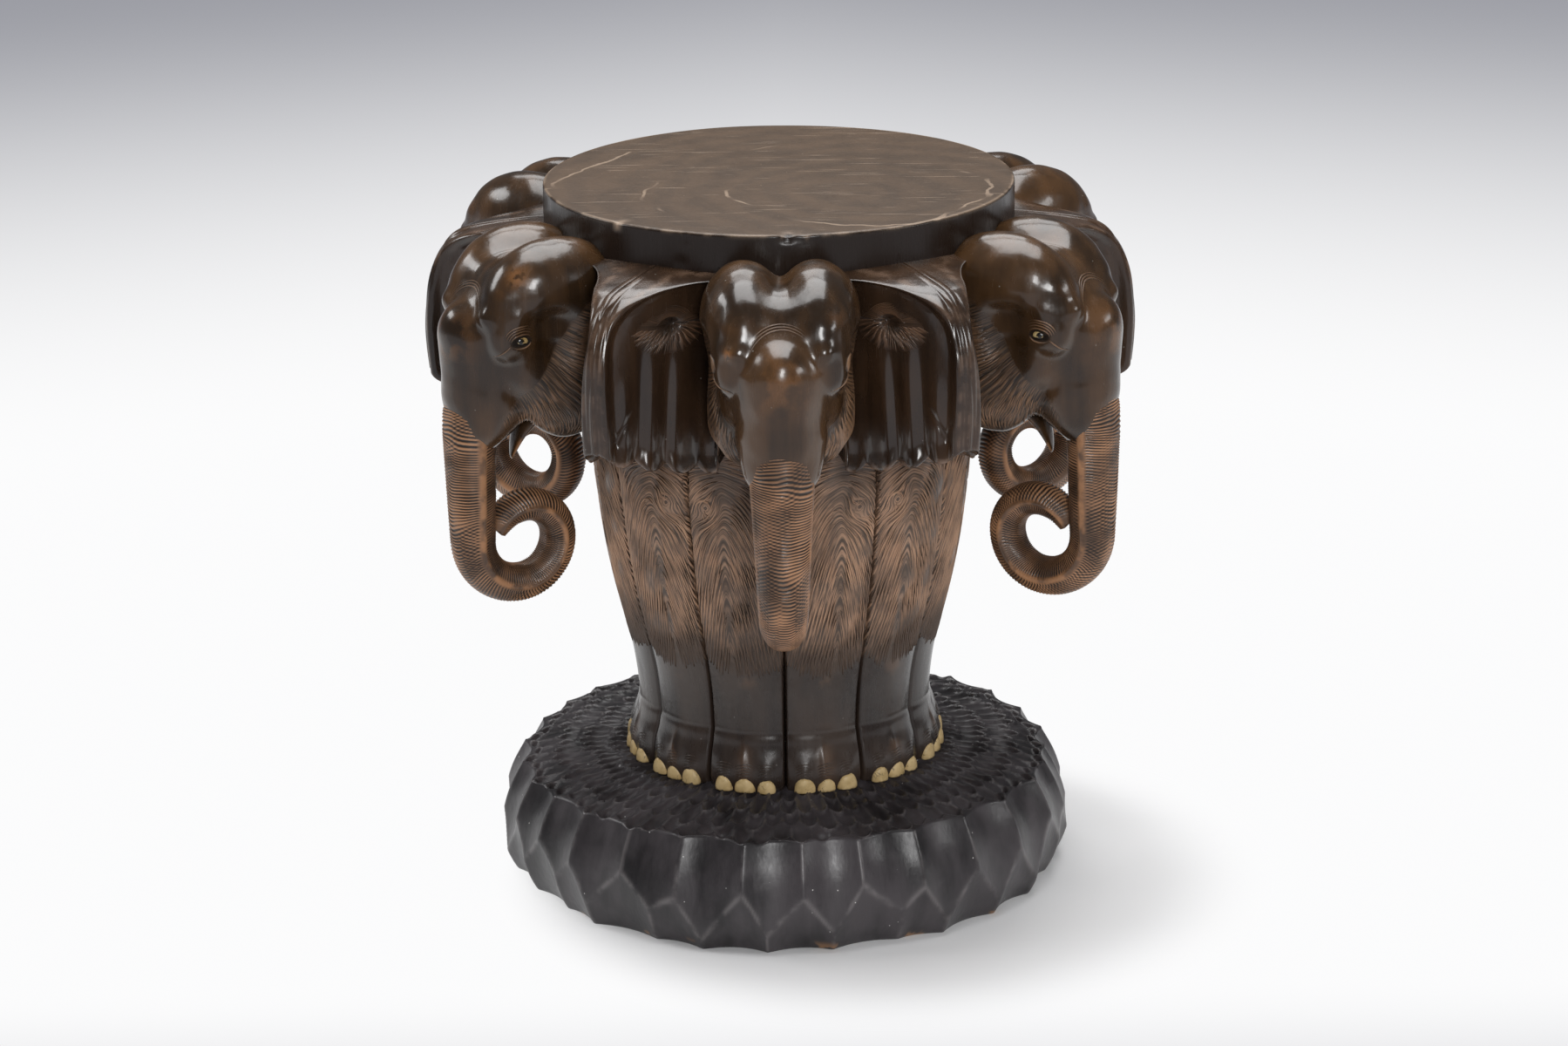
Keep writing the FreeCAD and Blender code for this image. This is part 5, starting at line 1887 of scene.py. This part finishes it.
@dataclass
class Studio:
    """Camera, floor and soft lamps; the camera's focal length is in pixels of the picture's width."""

    eye: Point = (0.001, -3.0, 1.221)
    pitch: float = 0.314
    roll: float = -0.012
    focal: float = 5072.0
    picture: float = 1799.0
    sensor: float = 36.0
    reach: float = 14.0
    white: Colour = (0.97, 0.97, 0.975)
    # Painted shade on the white paper: grey far behind, and darker in front of the table.
    grey: Colour = (0.33, 0.335, 0.37)
    near: Colour = (0.62, 0.62, 0.65)
    shade: Point = (0.07, -0.05, 0.0)
    sky: Colour = (0.95, 0.96, 1.0)
    sky_strength: float = 0.12
    boxes: tuple[SoftBox, ...] = (
        SoftBox("overhead box", (0.0, 0.12, 1.95), (0, 0, 0.42), (1.35, 1.25), 31),
        SoftBox("left box", (-1.7, 0.3, 1.5), (0, 0, 0.3), (0.5, 0.9), 10),
        SoftBox("right box", (1.8, -0.8, 1.1), (0, 0, 0.3), (0.3, 0.8), 6),
        SoftBox("front box", (0.35, -2.8, 1.5), (0, 0, 0.35), (0.6, 0.9), 32),
        SoftBox("back box", (-0.1, 1.6, 2.25), (0, 0, 0.45), (1.7, 0.8), 16))

    def camera(self) -> None:
        """Set the camera where the picture was taken from."""
        right, forward = np.array([1.0, 0, 0]), np.array([0, math.cos(self.pitch), -math.sin(self.pitch)])
        up = np.cross(right, forward)
        tilted = math.cos(self.roll) * right + math.sin(self.roll) * up
        upright = math.cos(self.roll) * up - math.sin(self.roll) * right
        data = bpy.data.cameras.new("camera")
        data.lens = self.focal / self.picture * self.sensor
        data.sensor_width = self.sensor
        data.sensor_fit = "HORIZONTAL"
        camera = bpy.data.objects.new("camera", data)
        set_axes(camera, tilted, upright, -forward, self.eye)
        bpy.context.scene.camera = camera

    def floor(self) -> None:
        """Lay a wide white floor that takes the table's shadow, with painted shade: grey far behind, darker
        in front.

        Round the table it is plain paper. Farther off, camera and glossy rays see the paper's painted colour,
        shade included, at full strength, so that it stays even.
        """
        mesh = bpy.data.meshes.new("floor")
        corners = [(x * self.reach, y * self.reach, 0.0) for x, y in ((-1, -1), (1, -1), (1, 1), (-1, 1))]
        mesh.from_pydata(corners, [], [(0, 1, 2, 3)])
        material, nodes = Finish("floor paper").start()
        apart = nodes.add("SeparateXYZ", {0: nodes.place}).outputs
        behind = nodes.math("MULTIPLY_ADD", nodes.math("ABSOLUTE", apart["X"]), 0.35, apart["Y"])
        # Painted shade: the white paper is mixed to grey far behind and to a darker colour in front, where
        # less light would reach it.
        colour = nodes.mix(nodes.span(behind, 1.2, 3.7), self.white, self.grey)
        colour = nodes.mix(nodes.span(apart["Y"], -0.25, -0.55), colour, self.near)
        paper = nodes.add("BsdfPrincipled", {"Base Color": colour, "Roughness": 0.9})
        paper.inputs["Specular IOR Level"].default_value = 0.1
        glow = nodes.add("Emission", {"Color": colour, "Strength": 1.0})
        distance = nodes.add("VectorMath", {0: nodes.place, 1: self.shade},
                             operation="DISTANCE").outputs["Value"]
        path = nodes.add("LightPath").outputs
        seen = nodes.math("MAXIMUM", path["Is Camera Ray"], path["Is Glossy Ray"])
        share = nodes.math("MULTIPLY", seen, nodes.span(distance, 0.19, 0.28))
        both = nodes.add("MixShader", {0: share, 1: paper.outputs[0], 2: glow.outputs[0]})
        nodes.tree.links.new(both.outputs[0], nodes.add("OutputMaterial").inputs[0])
        mesh.materials.append(material)
        floor = bpy.data.objects.new("floor", mesh)
        bpy.context.scene.collection.objects.link(floor)

    def light(self) -> None:
        """Light the table from a long soft box above and smaller ones around, inside a dim room."""
        for box in self.boxes:
            box.hang()
        world = bpy.data.worlds.new("room")
        world.use_nodes = True
        bpy.context.scene.world = world
        sky = world.node_tree.nodes["Background"]
        sky.inputs["Color"].default_value = (*self.sky, 1.0)
        sky.inputs["Strength"].default_value = self.sky_strength
        bpy.context.scene.view_settings.view_transform = "Standard"


@dataclass
class Finishes:
    """All finishes of the table."""

    skin: CarvedWood = CarvedWood(
        "polished skin", dark=(0.021, 0.011, 0.005), brown=(0.085, 0.042, 0.017),
        worn=(0.27, 0.115, 0.036), groove=(0.012, 0.007, 0.004), crest=(0.30, 0.165, 0.088), polish=0.23,
        coat=0.25)
    hide: CarvedWood = CarvedWood(
        "leg hide", dark=(0.016, 0.010, 0.008), brown=(0.050, 0.033, 0.024), worn=(0.24, 0.125, 0.062),
        groove=(0.066, 0.041, 0.027), crest=(0.50, 0.295, 0.18), polish=0.28, coat=0.12)
    flap: CarvedWood = CarvedWood(
        "ear flap", dark=(0.018, 0.010, 0.006), brown=(0.052, 0.027, 0.014), worn=(0.24, 0.15, 0.10),
        groove=(0.012, 0.007, 0.004), crest=(0.20, 0.105, 0.056), polish=0.23, coat=0.3)
    rings: CarvedWood = CarvedWood(
        "trunk rings", dark=(0.02, 0.012, 0.008), brown=(0.10, 0.05, 0.024), worn=(0.42, 0.20, 0.085),
        groove=(0.018, 0.010, 0.006), crest=(0.48, 0.245, 0.122), polish=0.3, coat=0.12)
    board: TopWood = TopWood(
        "top board", faded=(0.086, 0.052, 0.029), ring=(0.050, 0.031, 0.018), edge=(0.018, 0.011, 0.008),
        scratch=(0.34, 0.25, 0.18))
    plinth: PlinthWood = PlinthWood(
        "plinth stain", black=(0.013, 0.011, 0.012), grey=(0.060, 0.052, 0.056), ridge=(0.22, 0.20, 0.20),
        chip=(0.30, 0.16, 0.075))
    nail: Inlay = Inlay(
        "toenail inlay", cream=(0.72, 0.53, 0.26), amber=(0.58, 0.41, 0.18), dirt=(0.05, 0.03, 0.015),
        gloss=0.42)
    eye: Inlay = Inlay(
        "eye inlay", cream=(0.58, 0.45, 0.22), amber=(0.42, 0.28, 0.11), dirt=(0.10, 0.06, 0.02),
        gloss=0.14)
    core: PlainStock = PlainStock(
        "core stock", light=(0.36, 0.22, 0.12), deep=(0.26, 0.15, 0.08), metallic=0.0, gloss=0.5)
    steel: PlainStock = PlainStock(
        "screw steel", light=(0.55, 0.55, 0.55), deep=(0.42, 0.42, 0.43), metallic=1.0, gloss=0.3)


def dress_hidden(finishes: Finishes, grain: Tree) -> None:
    """Give the solids that stay, inside the table and under it, their finishes.

    Args:
        finishes: The table's finishes.
        grain: The group of wood grain.
    """
    core, steel = finishes.core.make(grain), finishes.steel.make(grain)
    for node, material in (("column_core", core), ("head_dowels", core), ("trunk_dowels", core),
                           ("base_screws", steel)):
        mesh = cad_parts[node].data
        mesh.materials.clear()
        mesh.materials.append(material)


def main() -> None:
    """Build the table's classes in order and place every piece."""
    logging.basicConfig(level=logging.INFO, format="%(message)s")
    studio = Studio()
    studio.camera()
    studio.floor()
    studio.light()
    finishes = Finishes()
    grain, specks = grain_group(), speck_group()
    dress_hidden(finishes, grain)
    Top().dress(finishes.board.make(grain, specks))
    Plinth().dress(finishes.plinth.make(grain, specks))
    Head().dress(finishes.skin.make(grain, specks), finishes.eye.make())
    Trunk().dress(finishes.rings.make(grain, specks))
    Ear().dress(finishes.flap.make(grain, specks))
    Leg().dress(finishes.hide.make(grain, specks), finishes.nail.make())


if __name__ == "__main__":
    main()
